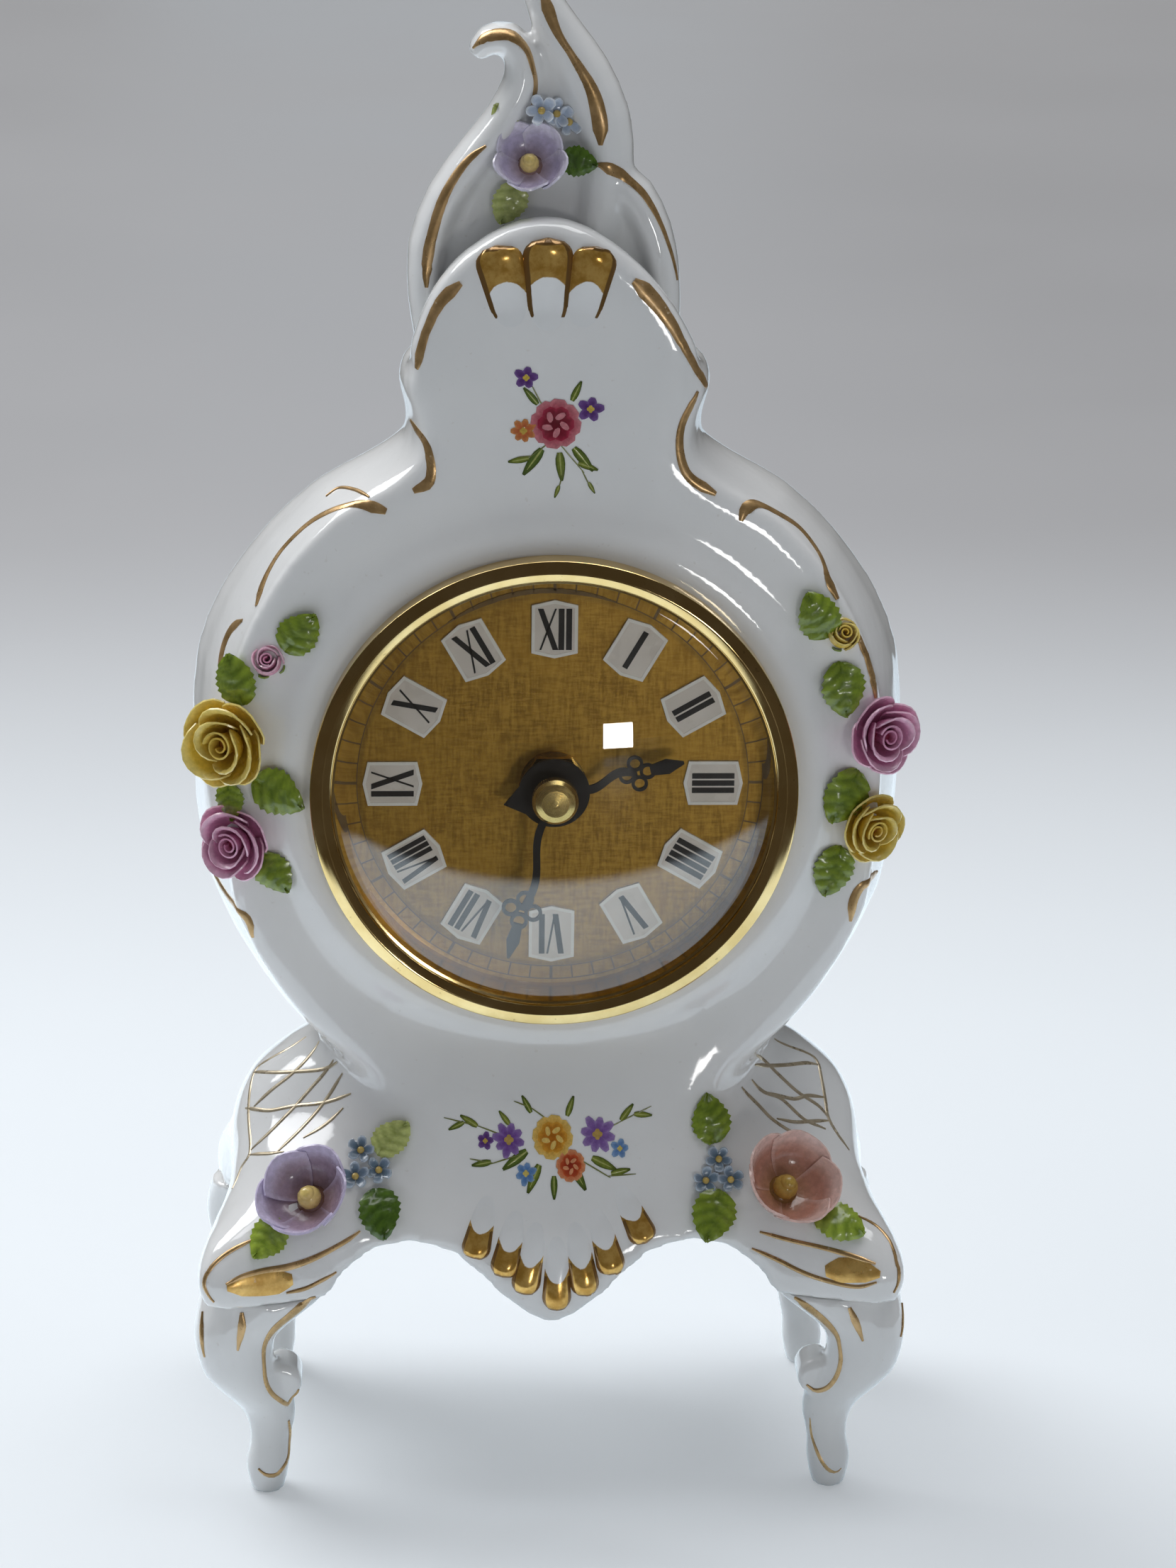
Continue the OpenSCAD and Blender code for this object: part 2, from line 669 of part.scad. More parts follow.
module bud(r, hue) {
  color(hue)
    rotate([-70, 0, 0])
      translate([0, 0, r * 0.6])
        rotate_extrude($fn = 48)
          polygon([
            [0, -1.25 * r], [0.45 * r, -1.1 * r], [0.85 * r, -0.5 * r], [1 * r, 0.1 * r],
            [0.85 * r, 0.7 * r], [0.5 * r, 1.2 * r], [0, 1.45 * r]
          ]);
}

// Leaf along +y with a raised midrib and a back that sinks into what is behind it
module leaf(l, turn, lift) {
  width_shares = [0.1, 0.34, 0.42, 0.36, 0.22, 0.06];
  n = len(width_shares);
  thick = l * 0.14;
  rotate([lift, 0, turn])
    loft([
      for (i = [0 : n - 1])
        let (
          w = width_shares[i] * l * 0.82,
          y = l * (i / (n - 1) - 0.1),
          arch = thick * 1.2 * sin(180 * i / (n - 1))
        )
        [
          [w, y, arch * 0.7], [w * 0.8, y, arch * 0.3 - thick], [-w * 0.8, y, arch * 0.3 - thick],
          [-w, y, arch * 0.7], [0, y, arch + thick]
        ]
    ]);
}

module leaves(list, hue) {
  color(hue)
    for (s = list)
      planted(surface_at(s), s[3], s[4])
        leaf(leaf_l * s[6], s[5], 0);
}

module flower_at(at, turn, tilt) {
  planted(surface_at(at), turn, tilt)
    children();
}

// Small flowers that touch, set about one place: each as right, up, out in flower radii, and its turn
module cluster(places, r) {
  for (p = places)
    translate([p[0] * r, p[1] * r, p[2] * r])
      rotate([0, p[3], 0])
        small_flower(r);
}

module crest_cup_flower() {
  planted(crest_at([-0.0731, 0.1609, 0.471]), -4, 10)
    cup_flower(crest_cup_r, "thistle");
}

module crest_small_flowers() {
  color("lightsteelblue")
    planted(crest_at([-0.0168, 0.1452, 0.5774]), 0, 15)
      cluster([[-1.39, 0.34, 0.78, -10], [0.08, 0.27, -0.38, 10], [1.31, -0.61, -0.4, 10]], small_r);
}

module crest_leaves() {
  places = [
    [-0.1234, 0.0071, 0.5286, -15, 0, 40, 0.62],
    [0.0457, 0.1018, 0.4509, 0, 0, -105, 0.9],
    [-0.1006, 0.2201, 0.4098, 0, 0, 160, 0.75]
  ];
  color("olivedrab")
    for (p = places)
      planted(crest_at(p), p[3], p[4])
        leaf(leaf_l * p[6], p[5], 0);
}

module left_yellow_rose() {
  flower_at([-0.873, -0.335, 0.5178], -30, 4)
    rose(rose_r, "khaki");
}

module left_pink_rose() {
  flower_at([-0.86, -0.337, 0.4222], -28, 0)
    rose(rose_r * 0.84, "orchid");
}

module left_pink_bud() {
  flower_at([-0.772, -0.345, 0.5928], -10, 0)
    bud(rose_r * 0.32, "plum");
}

module left_leaves() {
  leaves([
      [-0.72, -0.35, 0.61, -3, 0, -35, 0.9], [-0.845, -0.335, 0.5594, -20, 4, 10, 0.95],
      [-0.8, -0.36, 0.4817, -14, 0, -110, 1.05], [-0.88, -0.325, 0.4749, -30, 0, -170, 0.7],
      [-0.79, -0.345, 0.4074, -10, -2, -150, 0.85]
    ], "olivedrab");
}

module right_pink_rose() {
  flower_at([0.888, -0.332, 0.5239], 26, 4)
    rose(rose_r * 0.88, "palevioletred");
}

module right_yellow_rose() {
  flower_at([0.865, -0.336, 0.4341], 28, -3)
    rose(rose_r * 0.77, "gold");
}

module right_yellow_bud() {
  flower_at([0.78, -0.34, 0.6175], 12, 0)
    bud(rose_r * 0.32, "gold");
}

module right_leaves() {
  leaves([
      [0.735, -0.345, 0.6235, 3, 0, 30, 0.95], [0.775, -0.345, 0.5898, 6, 0, -170, 1],
      [0.825, -0.34, 0.4851, 12, 0, 150, 1.05], [0.79, -0.345, 0.4108, 8, -1, 160, 0.95]
    ], "olivedrab");
}

module base_left_cup_flower() {
  flower_at([-0.67, -0.69, 0.0933], -28, 42)
    cup_flower(cup_r * 0.95, "mediumpurple");
}

module base_left_small_flowers() {
  color("steelblue")
    flower_at([-0.5183, -0.5833, 0.1136], -8, 38)
      cluster([[-0.38, 1.06, 0.05, 0], [0.97, -0.25, -0.08, 0], [-0.59, -0.8, 0.03, 0]], small_r);
}

module base_left_leaves() {
  leaves([
      [-0.475, -0.545, 0.1254, -10, 33, -35, 0.8], [-0.49, -0.675, 0.0916, -2, 33, -160, 0.95],
      [-0.76, -0.845, 0.068, -5, 38, 130, 0.9]
    ], "olivedrab");
}

module base_right_cup_flower() {
  flower_at([0.632, -0.665, 0.0974], 24, 44)
    cup_flower(cup_r * 1.05, "lightsalmon");
}

module base_right_small_flowers() {
  color("slategray")
    flower_at([0.466, -0.615, 0.1059], 5, 33)
      cluster([[0.1, 1.02, -0.02, 0], [-0.95, -0.49, -0.07, 0], [0.85, -0.53, 0.09, 0]], small_r * 0.95);
}

module base_right_leaves() {
  leaves([
      [0.455, -0.52, 0.1338, 10, 31, 10, 0.95], [0.465, -0.68, 0.0882, -2, 31, 165, 1],
      [0.79, -0.79, 0.0764, 10, 50, -140, 0.95]
    ], "olivedrab");
}

// Insert
module bezel() {
  top = seat_h + bezel_h;
  under = seat_h + flange_t + seat_gap;
  lip = top - lip_h;
  outer_hole = flange_r + 0.1;
  color("goldenrod")
    at_dial()
      rotate_extrude($fn = 96)
        polygon([
          [outer_hole, seat_h], [bezel_r, seat_h], [bezel_r, seat_h + bezel_h * 0.36],
          [bezel_r - 0.3, seat_h + bezel_h * 0.52], [bezel_r - 1, seat_h + bezel_h * 0.6],
          [bezel_r - 1.7, seat_h + bezel_h * 0.55], [sight_r + 1.3, top - 0.7], [sight_r + 1, top - 0.2],
          [sight_r + 0.5, top], [sight_r + 0.1, top - 0.2], [sight_r, top - 0.6], [sight_r, lip],
          [glass_r + 0.1, lip], [glass_r + 0.1, under], [outer_hole, under]
        ]);
}

module glass() {
  color("lightcyan", 0.35)
    at_dial()
      intersection() {
        difference() {
          translate([0, 0, glass_centre])
            sphere(r = glass_sphere_r, $fn = 96);
          translate([0, 0, glass_centre])
            sphere(r = glass_sphere_r - glass_t, $fn = 96);
        }
        rod(glass_r, glass_edge_h, glass_edge_h + 2 * glass_rise);
      }
}

module sight_ring() {
  outer = glass_r;
  color("goldenrod")
    at_dial()
      rotate_extrude($fn = 96)
        polygon([
          [outer - 1.6, seat_gap], [outer, seat_gap], [outer, glass_edge_h - seat_gap],
          [outer - 0.7, glass_edge_h - seat_gap]
        ]);
}

module dial_plate() {
  color("darkgoldenrod")
    at_dial()
      ring(glass_r, bush_r + 0.1, -dial_t, 0);
}

// One plaque, its length along +y, with straight sides and chamfered ends
module plaque_outline() {
  x = plaque_w / 2;
  y = plaque_l / 2;
  cut = plaque_w * 0.28;
  polygon([
    [x, -y + cut], [x, y - cut], [x - cut, y], [-x + cut, y], [-x, y - cut], [-x, -y + cut],
    [-x + cut, -y], [x - cut, -y]
  ]);
}

module numeral_plaques() {
  color("gainsboro")
    at_dial()
      for (i = [0 : 11])
        rotate([0, 0, -30 * i])
          translate([0, numeral_ring_r, 0])
            linear_extrude(plaque_t)
              plaque_outline();
}

module dial_pan() {
  color("silver")
    at_dial() {
      ring(pan_r, bush_r + 0.1, pan_back, -dial_t);
      ring(pan_r, pan_r - pan_wall, -dial_t - pan_t / 2, seat_h + flange_t);
      ring(flange_r, pan_r - pan_wall, seat_h, seat_h + flange_t);
    }
}

module both_sides() {
  for (side = [-1, 1])
    mirror([side < 0 ? 1 : 0, 0, 0])
      children();
}

module clamp_studs() {
  collar_end = inner_face - pad_t;
  color("silver")
    at_dial()
      both_sides()
        translate([stud_x, 0, 0]) {
          rod(stud_r, collar_end - strip_t - clamp_nut_h - 2, pan_back);
          rod(stud_collar_r, collar_end, pan_back);
        }
}

module clamp_pads() {
  color("dimgray")
    at_dial()
      both_sides()
        translate([pad_x, 0, 0])
          rod(pad_r, inner_face - pad_t, inner_face);
}

module clamp_strips() {
  top = inner_face - pad_t;
  end_r = strip_w / 2;
  color("gainsboro")
    at_dial()
      both_sides()
        difference() {
          round_strip(stud_x, pad_x, top, end_r);
          translate([stud_x, 0, top - strip_t - over])
            cylinder(r = stud_r + push_gap, h = strip_t + 2 * over, $fn = 48);
        }
}

module round_strip(from_x, to_x, top, end_r) {
  translate([from_x, -end_r, top - strip_t])
    cube([to_x - from_x, 2 * end_r, strip_t]);
  for (x = [from_x, to_x])
    translate([x, 0, top - strip_t])
      cylinder(r = end_r, h = strip_t, $fn = 48);
}

module clamp_nuts() {
  top = inner_face - pad_t - strip_t;
  color("goldenrod")
    at_dial()
      both_sides()
        translate([stud_x, 0, 0])
          ring(clamp_nut_r, stud_r + push_gap, top - clamp_nut_h, top);
}

module rubber_washer() {
  color("dimgray")
    at_dial()
      ring(washer_r, bush_r + 0.1, housing_top, pan_back);
}

module brass_washer() {
  color("goldenrod")
    at_dial()
      ring(brass_washer_r, bush_r + 0.1, 0, brass_washer_t);
}

module hex_nut() {
  color("goldenrod")
    at_dial()
      translate([0, 0, brass_washer_t])
        difference() {
          cylinder(r = hex_nut_r, h = hex_nut_h, $fn = 6);
          translate([0, 0, -over])
            cylinder(r = bush_r + push_gap, h = hex_nut_h + 2 * over, $fn = 48);
        }
}

module threaded_bush() {
  color("goldenrod")
    at_dial()
      difference() {
        union() {
          rod(bush_r, chamber_top - bush_flange_t, bush_top);
          rod(bush_flange_r, chamber_top - bush_flange_t, chamber_top);
        }
        rod(sleeve_r + run_gap, chamber_top - bush_flange_t - over, bush_top + over);
      }
}

// Serpentine hand along +y: hub, waved stem, pierced crosslet and leaf-shaped tip
module hand_outline(l, hub_share, cross_share, lobe_share, wave_share, stem_share) {
  steps = 16;
  hub_r = l * hub_share;
  cross_r = l * lobe_share;
  wave = l * wave_share;
  stem_w = l * stem_share;
  start = hub_r * 0.6;
  cross_y = l * cross_share;
  stem = [for (i = [0 : steps])
    let (t = i / steps)
    [wave * sin(360 * t), start + (cross_y - start) * t]];
  circle(r = hub_r, $fn = 48);
  polygon(concat(
    [for (p = stem) p + [stem_w / 2, 0]],
    [for (i = [steps : -1 : 0]) stem[i] - [stem_w / 2, 0]]
  ));
  for (a = [0 : 90 : 270])
    translate([0, cross_y] + polar(cross_r * 0.8, a))
      difference() {
        circle(r = cross_r * 0.62, $fn = 32);
        circle(r = cross_r * 0.38, $fn = 32);
      }
  polygon([
    [-stem_w * 0.6, cross_y + cross_r], [stem_w * 0.6, cross_y + cross_r],
    [stem_w * 0.9, l - (l - cross_y) * 0.35], [stem_w * 0.15, l], [-stem_w * 0.15, l],
    [-stem_w * 0.9, l - (l - cross_y) * 0.35]
  ]);
}

module hour_hand() {
  hub_share = 0.268;
  hub = hour_l * hub_share;
  color("black")
    at_dial()
      rotate([0, 0, hour_angle])
        translate([0, 0, hour_hand_h])
          difference() {
            linear_extrude(hand_t) {
              hand_outline(hour_l, hub_share, 0.64, 0.1, 0.039, 0.065);
              polygon([[-hub * 0.5, -hub * 0.8], [0, -hub * 1.45], [hub * 0.5, -hub * 0.8]]);
            }
            translate([0, 0, -over])
              cylinder(r = sleeve_r + push_gap, h = hand_t + 2 * over, $fn = 48);
          }
}

module minute_hand() {
  color("black")
    at_dial()
      rotate([0, 0, minute_angle])
        translate([0, 0, minute_hand_h])
          difference() {
            linear_extrude(hand_t)
              hand_outline(minute_l, 0.118, 0.7, 0.083, 0.03, 0.043);
            translate([0, 0, -over])
              cylinder(r = arbor_r + push_gap, h = hand_t + 2 * over, $fn = 48);
          }
}

module hand_nut() {
  from = minute_hand_h + hand_t;
  r = hand_nut_r;
  h = hand_nut_h;
  bore = arbor_r + push_gap;
  color("goldenrod")
    at_dial()
      rotate_extrude($fn = 96)
        polygon([
          [bore, from], [r * 0.92, from], [r, from + h * 0.12], [r, from + h * 0.62],
          [r * 0.86, from + h * 0.82], [r * 0.6, from + h * 0.94], [0, from + h], [0, arbor_top + push_gap],
          [bore, arbor_top + push_gap]
        ]);
}

// Movement
module housing_box(x, low, high, from, to) {
  translate([-x, low, from])
    cube([2 * x, high - low, to - from]);
}

module housing_front() {
  half = housing_w / 2;
  inside = half - housing_wall;
  color("darkslategray")
    at_dial() {
      difference() {
        housing_box(half, -half, half, housing_bottom, housing_top);
        housing_box(inside, partition_y + bay_wall, inside, housing_bottom - over, chamber_top);
        housing_box(half + over, partition_y + bay_wall / 2, half + over, housing_bottom - over, lid_inside);
        housing_box(inside + housing_wall - 0.8, bay_y - bay_h / 2, partition_y, housing_bottom - over, chamber_top);
        rod(bush_r + push_gap, chamber_top - over, housing_top + over);
      }
      translate([minute_at[0], minute_at[1], 0])
        rod(pin_r, cannon_plane - wheel_t - plane_gap, chamber_top + housing_wall / 2);
      for (p = [third_at, fourth_at, rotor_at])
        translate([p[0], p[1], 0])
          rod(pivot_r, lid_inside + seat_gap, chamber_top + housing_wall / 2);
      for (p = [stator_left_post, stator_right_post])
        translate([p[0], p[1], 0])
          rod(post_r, stator_mid + stator_t / 2, chamber_top + housing_wall / 2);
    }
}

module housing_back() {
  half = housing_w / 2;
  color("darkslategray")
    at_dial()
      difference() {
        housing_box(half, partition_y + bay_wall / 2 + seat_gap, half, housing_bottom, lid_inside);
        translate([setting_at[0], setting_at[1], 0])
          rod(shaft_r + run_gap, housing_bottom - over, lid_inside + over);
      }
}

module hour_wheel() {
  color("wheat")
    at_dial() {
      gear(hour_n, hour_m, hour_phase, hour_plane - wheel_t, hour_plane, arbor_r + run_gap);
      ring(sleeve_r, arbor_r + run_gap, hour_plane - wheel_t, hour_hand_h + hand_t + 0.6);
    }
}

module minute_wheel() {
  color("wheat")
    at_dial()
      translate([minute_at[0], minute_at[1], 0]) {
        gear(minute_n, motion_m, minute_phase, cannon_plane - wheel_t - 0.2, cannon_plane - 0.2, pin_r + run_gap);
        gear(minute_pinion_n, hour_m, 0, cannon_plane - 0.3, hour_plane + 0.1, pin_r + run_gap);
      }
}

module minute_arbor() {
  color("silver")
    at_dial() {
      rod(arbor_r, third_plane + plane_gap, arbor_top);
      translate([0, 0, cannon_plane - pinion_t])
        linear_extrude(pinion_t)
          polygon(gear_points(cannon_n, motion_m, 0));
    }
}

module centre_wheel() {
  color("wheat")
    at_dial()
      gear(centre_n, train_m, 0, centre_plane - wheel_t - 0.2, centre_plane - 0.2, arbor_r + run_gap);
}

module third_wheel() {
  color("wheat")
    at_dial()
      translate([third_at[0], third_at[1], 0]) {
        gear(third_pinion_n, train_m, third_phase, third_plane - 0.3, centre_plane, pivot_r + run_gap);
        gear(third_n, train_m, 0, third_plane - wheel_t - 0.2, third_plane - 0.2, pivot_r + run_gap);
      }
}

module fourth_wheel() {
  color("wheat")
    at_dial()
      translate([fourth_at[0], fourth_at[1], 0]) {
        gear(fourth_pinion_n, train_m, fourth_phase, fourth_plane - 0.3, third_plane, pivot_r + run_gap);
        gear(fourth_n, rotor_m, 0, fourth_plane - wheel_t - 0.2, fourth_plane - 0.2, pivot_r + run_gap);
      }
}

module rotor() {
  color("gray")
    at_dial()
      translate([rotor_at[0], rotor_at[1], 0]) {
        gear(rotor_pinion_n, rotor_m, rotor_phase, magnet_plane - 0.3, fourth_plane, pivot_r + run_gap);
        ring(magnet_r, pivot_r + run_gap, magnet_plane - magnet_t, magnet_plane);
      }
}

module stator() {
  mid = stator_mid;
  left = coil_left;
  right = coil_right;
  color("silver")
    at_dial()
      difference() {
        translate([0, 0, mid - stator_t / 2])
          linear_extrude(stator_t)
            union() {
              translate([left - stator_w, rotor_at[1] - stator_w / 2])
                square([rotor_at[0] - left + 2 * stator_w, stator_w]);
              translate([rotor_at[0], rotor_at[1]])
                circle(r = magnet_r + 2, $fn = 48);
              translate([left - stator_w, rotor_at[1]])
                square([stator_w, coil_y - rotor_at[1] + coil_core_r]);
              translate([right, rotor_at[1]])
                square([stator_w, coil_y - rotor_at[1] + coil_core_r]);
              translate([left - over, coil_y - coil_core_r])
                square([coil_l + 2 * over, 2 * coil_core_r]);
            }
        translate([rotor_at[0], rotor_at[1], 0])
          rod(magnet_r + 0.4, mid - stator_t, mid + stator_t);
        translate([setting_at[0], setting_at[1], 0])
          rod(shaft_r + 1, mid - stator_t, mid + stator_t);
      }
}

module coil() {
  color("peru")
    at_dial()
      translate([coil_left, coil_y, stator_mid])
        difference() {
          rotate([0, 90, 0])
            rod(coil_r, 0, coil_l);
          translate([-over, -coil_core_r - seat_gap, -stator_t / 2 - seat_gap])
            cube([coil_l + 2 * over, 2 * (coil_core_r + seat_gap), stator_t + 2 * seat_gap]);
        }
}

module circuit_board() {
  color("green")
    at_dial()
      translate([housing_w / 2 - housing_wall - board_w - 0.3, partition_y + bay_wall + 0.3, chamber_top - board_t])
        cube([board_w, board_l, board_t]);
}

module setting_knob() {
  color("darkslategray")
    at_dial()
      translate([setting_at[0], setting_at[1], 0]) {
        rod(shaft_r, housing_bottom - 1, cannon_plane);
        translate([0, 0, cannon_plane - pinion_t])
          linear_extrude(pinion_t)
            polygon(gear_points(setting_n, motion_m, setting_phase));
        rod(knob_r, housing_bottom - 0.6 - knob_h, housing_bottom - 0.6);
      }
}

module battery() {
  nub_r = 2.7;
  nub_l = 1;
  color("dimgray")
    at_dial()
      translate([-cell_l / 2, bay_y, cell_h])
        rotate([0, 90, 0]) {
          rod(cell_r, 0, cell_l - nub_l);
          rod(nub_r, 0, cell_l);
        }
}

// Leaf contact in the bay's end wall with a raised dimple that meets the cell
module contact(side) {
  bay_end = housing_w / 2 - 0.8;
  at_dial()
    mirror([side < 0 ? 1 : 0, 0, 0])
      translate([0, bay_y, cell_h]) {
        translate([bay_end - contact_t, -contact_w / 2, -contact_w / 2])
          cube([contact_t, contact_w, contact_w]);
        translate([bay_end, 0, 0])
          rotate([0, -90, 0])
            rod(contact_bump_r, contact_t / 2, bay_end - cell_l / 2 - 0.1);
      }
}

module contact_positive() {
  color("silver")
    contact(1);
}

module contact_negative() {
  color("silver")
    contact(-1);
}

case_shell();
crest();
leg_front_left();
leg_front_right();
leg_back_left();
leg_back_right();
shield_shell();
apron_shell();
crest_cup_flower();
crest_small_flowers();
crest_leaves();
left_yellow_rose();
left_pink_rose();
left_pink_bud();
left_leaves();
right_pink_rose();
right_yellow_rose();
right_yellow_bud();
right_leaves();
base_left_cup_flower();
base_left_small_flowers();
base_left_leaves();
base_right_cup_flower();
base_right_small_flowers();
base_right_leaves();
bezel();
glass();
sight_ring();
dial_plate();
numeral_plaques();
dial_pan();
clamp_studs();
clamp_pads();
clamp_strips();
clamp_nuts();
rubber_washer();
brass_washer();
hex_nut();
threaded_bush();
hour_hand();
minute_hand();
hand_nut();
housing_front();
housing_back();
hour_wheel();
minute_wheel();
minute_arbor();
centre_wheel();
third_wheel();
fourth_wheel();
rotor();
stator();
coil();
circuit_board();
setting_knob();
battery();
contact_positive();
contact_negative();
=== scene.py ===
import math
import random

import bmesh
import bpy
from mathutils import Matrix, Vector
from mathutils.bvhtree import BVHTree


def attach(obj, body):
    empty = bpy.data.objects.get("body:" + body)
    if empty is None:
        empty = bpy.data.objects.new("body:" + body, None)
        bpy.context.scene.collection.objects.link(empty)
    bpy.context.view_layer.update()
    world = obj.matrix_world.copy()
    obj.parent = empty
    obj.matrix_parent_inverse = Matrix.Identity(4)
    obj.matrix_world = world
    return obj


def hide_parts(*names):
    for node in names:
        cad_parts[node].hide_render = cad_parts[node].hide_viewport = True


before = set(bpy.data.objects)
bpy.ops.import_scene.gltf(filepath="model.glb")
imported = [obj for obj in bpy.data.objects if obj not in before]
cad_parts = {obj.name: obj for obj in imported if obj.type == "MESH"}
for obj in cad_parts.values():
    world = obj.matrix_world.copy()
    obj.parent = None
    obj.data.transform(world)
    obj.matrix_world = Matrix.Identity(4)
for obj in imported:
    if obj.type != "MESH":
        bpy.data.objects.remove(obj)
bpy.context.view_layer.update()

MM = 0.001
TAU = 2 * math.pi
SEED = random.Random(7)
TINT = "tint"
DIAL_Y, DIAL_Z = -10.0, 130.0
DIAL_AXIS = (0.0, 0.0, DIAL_Z * MM)


# Finishes
class Wire:
    """A socket of a finish, so that patterns add and multiply as plain maths."""

    def __init__(self, finish, socket):
        self.finish = finish
        self.socket = socket

    def __add__(self, other):
        return self.finish.maths("ADD", self, other)

    def __sub__(self, other):
        return self.finish.maths("SUBTRACT", self, other)

    def __rsub__(self, other):
        return self.finish.maths("SUBTRACT", other, self)

    def __mul__(self, other):
        return self.finish.maths("MULTIPLY", self, other)

    def __truediv__(self, other):
        return self.finish.maths("DIVIDE", self, other)

    def __rtruediv__(self, other):
        return self.finish.maths("DIVIDE", other, self)

    __radd__ = __add__
    __rmul__ = __mul__


class Finish:
    """A material or a world in the making: its nodes, its patterns and, last, its surface."""

    def __init__(self, name, world=None):
        self.made = world or bpy.data.materials.new(name)
        self.made.use_nodes = True
        self.tree = self.made.node_tree
        self.tree.nodes.clear()

    def node(self, kind, settings=None, sockets=None, out=0):
        made = self.tree.nodes.new("ShaderNode" + kind)
        for key, value in (settings or {}).items():
            setattr(made, key, value)
        for key, value in (sockets or {}).items():
            if isinstance(value, Wire):
                self.tree.links.new(value.socket, made.inputs[key])
            else:
                made.inputs[key].default_value = value
        return Wire(self, made.outputs[out]) if made.outputs else None

    def maths(self, operation, *values):
        return self.node("Math", {"operation": operation}, dict(enumerate(values)))

    def ray(self, question):
        return self.node("LightPath", out=question)

    def place(self):
        return self.node("TexCoord", out="Object")

    def stretched(self, scale):
        """Object coordinates that draw a pattern out along an axis, the more the smaller its scale."""
        return self.node("Mapping", None, {"Vector": self.place(), "Scale": scale})

    def axes(self, vector):
        split = self.node("SeparateXYZ", None, {0: vector})
        return [Wire(self, output) for output in split.socket.node.outputs]

    def mottle(self, size, detail=2.0, rough=0.5, at=None):
        """Soft noise from 0 to 1 with patches of the given size in metres."""
        sockets = {"Vector": at or self.place(), "Scale": 1 / size, "Detail": detail, "Roughness": rough}
        return self.node("TexNoise", None, sockets)

    def step(self, value, low, high, start=0.0, end=1.0):
        """Smooth step between two levels of a pattern."""
        return self.node(
            "MapRange",
            {"interpolation_type": "SMOOTHSTEP"},
            {"Value": value, "From Min": low, "From Max": high, "To Min": start, "To Max": end},
        )

    def tone(self, factor, dark, light, how="MIX"):
        shades = [c if isinstance(c, Wire) else (*c, 1.0) for c in (dark, light)]
        settings = {"data_type": "RGBA", "blend_type": how}
        return self.node("Mix", settings, {0: factor, 6: shades[0], 7: shades[1]}, out=2)

    def tint(self):
        return self.node("Attribute", {"attribute_name": TINT}, out="Color")

    def tinted(self, pattern, darkest):
        """The piece's own tint, darkened by a pattern down to a share of itself."""
        return self.tone(1.0, self.tint(), self.tone(pattern, (darkest,) * 3, (1.0,) * 3), "MULTIPLY")

    def relief(self, height, depth, strength=1.0):
        """Bump from a pattern, its full height in metres."""
        return self.node("Bump", None, {"Height": height, "Distance": depth, "Strength": strength})

    def surface(self, colour, roughness, relief, metallic=0.0, **fixed):
        sockets = {"Base Color": colour, "Roughness": roughness, "Metallic": metallic, "Normal": relief}
        sockets.update({name.replace("_", " "): value for name, value in fixed.items()})
        return self.node("BsdfPrincipled", None, sockets)

    def close(self, shader, output="OutputMaterial"):
        self.node(output, None, {"Surface": shader})
        return self.made


def glazed_porcelain():
    f = Finish("glazed_porcelain")
    pool = f.step(f.mottle(0.03, 3), 0.35, 0.75)
    speck = f.step(f.mottle(0.0011, 1), 0.74, 0.8)
    white = f.tone(pool, (0.82, 0.825, 0.82), (0.875, 0.875, 0.865))
    white = f.tone(speck * 0.25, white, (0.62, 0.58, 0.52))
    ripple = f.mottle(0.012, 2) * 0.8 + f.mottle(0.0022, 2) * 0.2
    shine = f.step(f.mottle(0.02, 4), 0.3, 0.8, 0.055, 0.12)
    relief = f.relief(ripple, 0.00022, 0.6)
    return f.close(f.surface(white, shine, relief, Coat_Weight=0.4, Coat_Roughness=0.03, IOR=1.52))


def fired_gilding(name, bright, deep, metal):
    f = Finish(name)
    brush = f.mottle(0.004, 4, 0.65)
    worn = f.step(f.mottle(0.0016, 3, 0.7), 0.66, 0.74)
    gold = f.tone(f.step(brush, 0.3, 0.7), deep, bright)
    gold = f.tone(worn * 0.5, gold, (0.66, 0.56, 0.42))
    rough = f.step(f.mottle(0.003, 3), 0.3, 0.75, 0.24, 0.42)
    relief = f.relief(f.mottle(0.0008, 3, 0.6), 0.00006, 0.5)
    return f.close(f.surface(gold, rough, relief, metallic=metal - worn * 0.5, Coat_Weight=0.15))


def painted_clay(name, vein=0.0012, shine=0.16, bumps=0.00008):
    """Glazed flower clay that takes its colour from the piece's own tint."""
    f = Finish(name)
    colour = f.tinted(f.step(f.mottle(vein, 3, 0.6), 0.3, 0.72), 0.80)
    rough = f.step(f.mottle(0.002, 2), 0.3, 0.8, shine, shine + 0.16)
    relief = f.relief(f.mottle(vein * 0.6, 2), bumps, 0.6)
    return f.close(f.surface(colour, rough, relief, Coat_Weight=0.35, Coat_Roughness=0.08))


def enamel_paint():
    f = Finish("enamel_paint")
    stipple = f.mottle(0.0006, 3, 0.7)
    colour = f.tinted(f.step(stipple, 0.3, 0.75), 0.72)
    rough = f.step(f.mottle(0.003, 2), 0.3, 0.8, 0.1, 0.26)
    return f.close(f.surface(colour, rough, f.relief(stipple, 0.00002, 0.5), Coat_Weight=0.3))


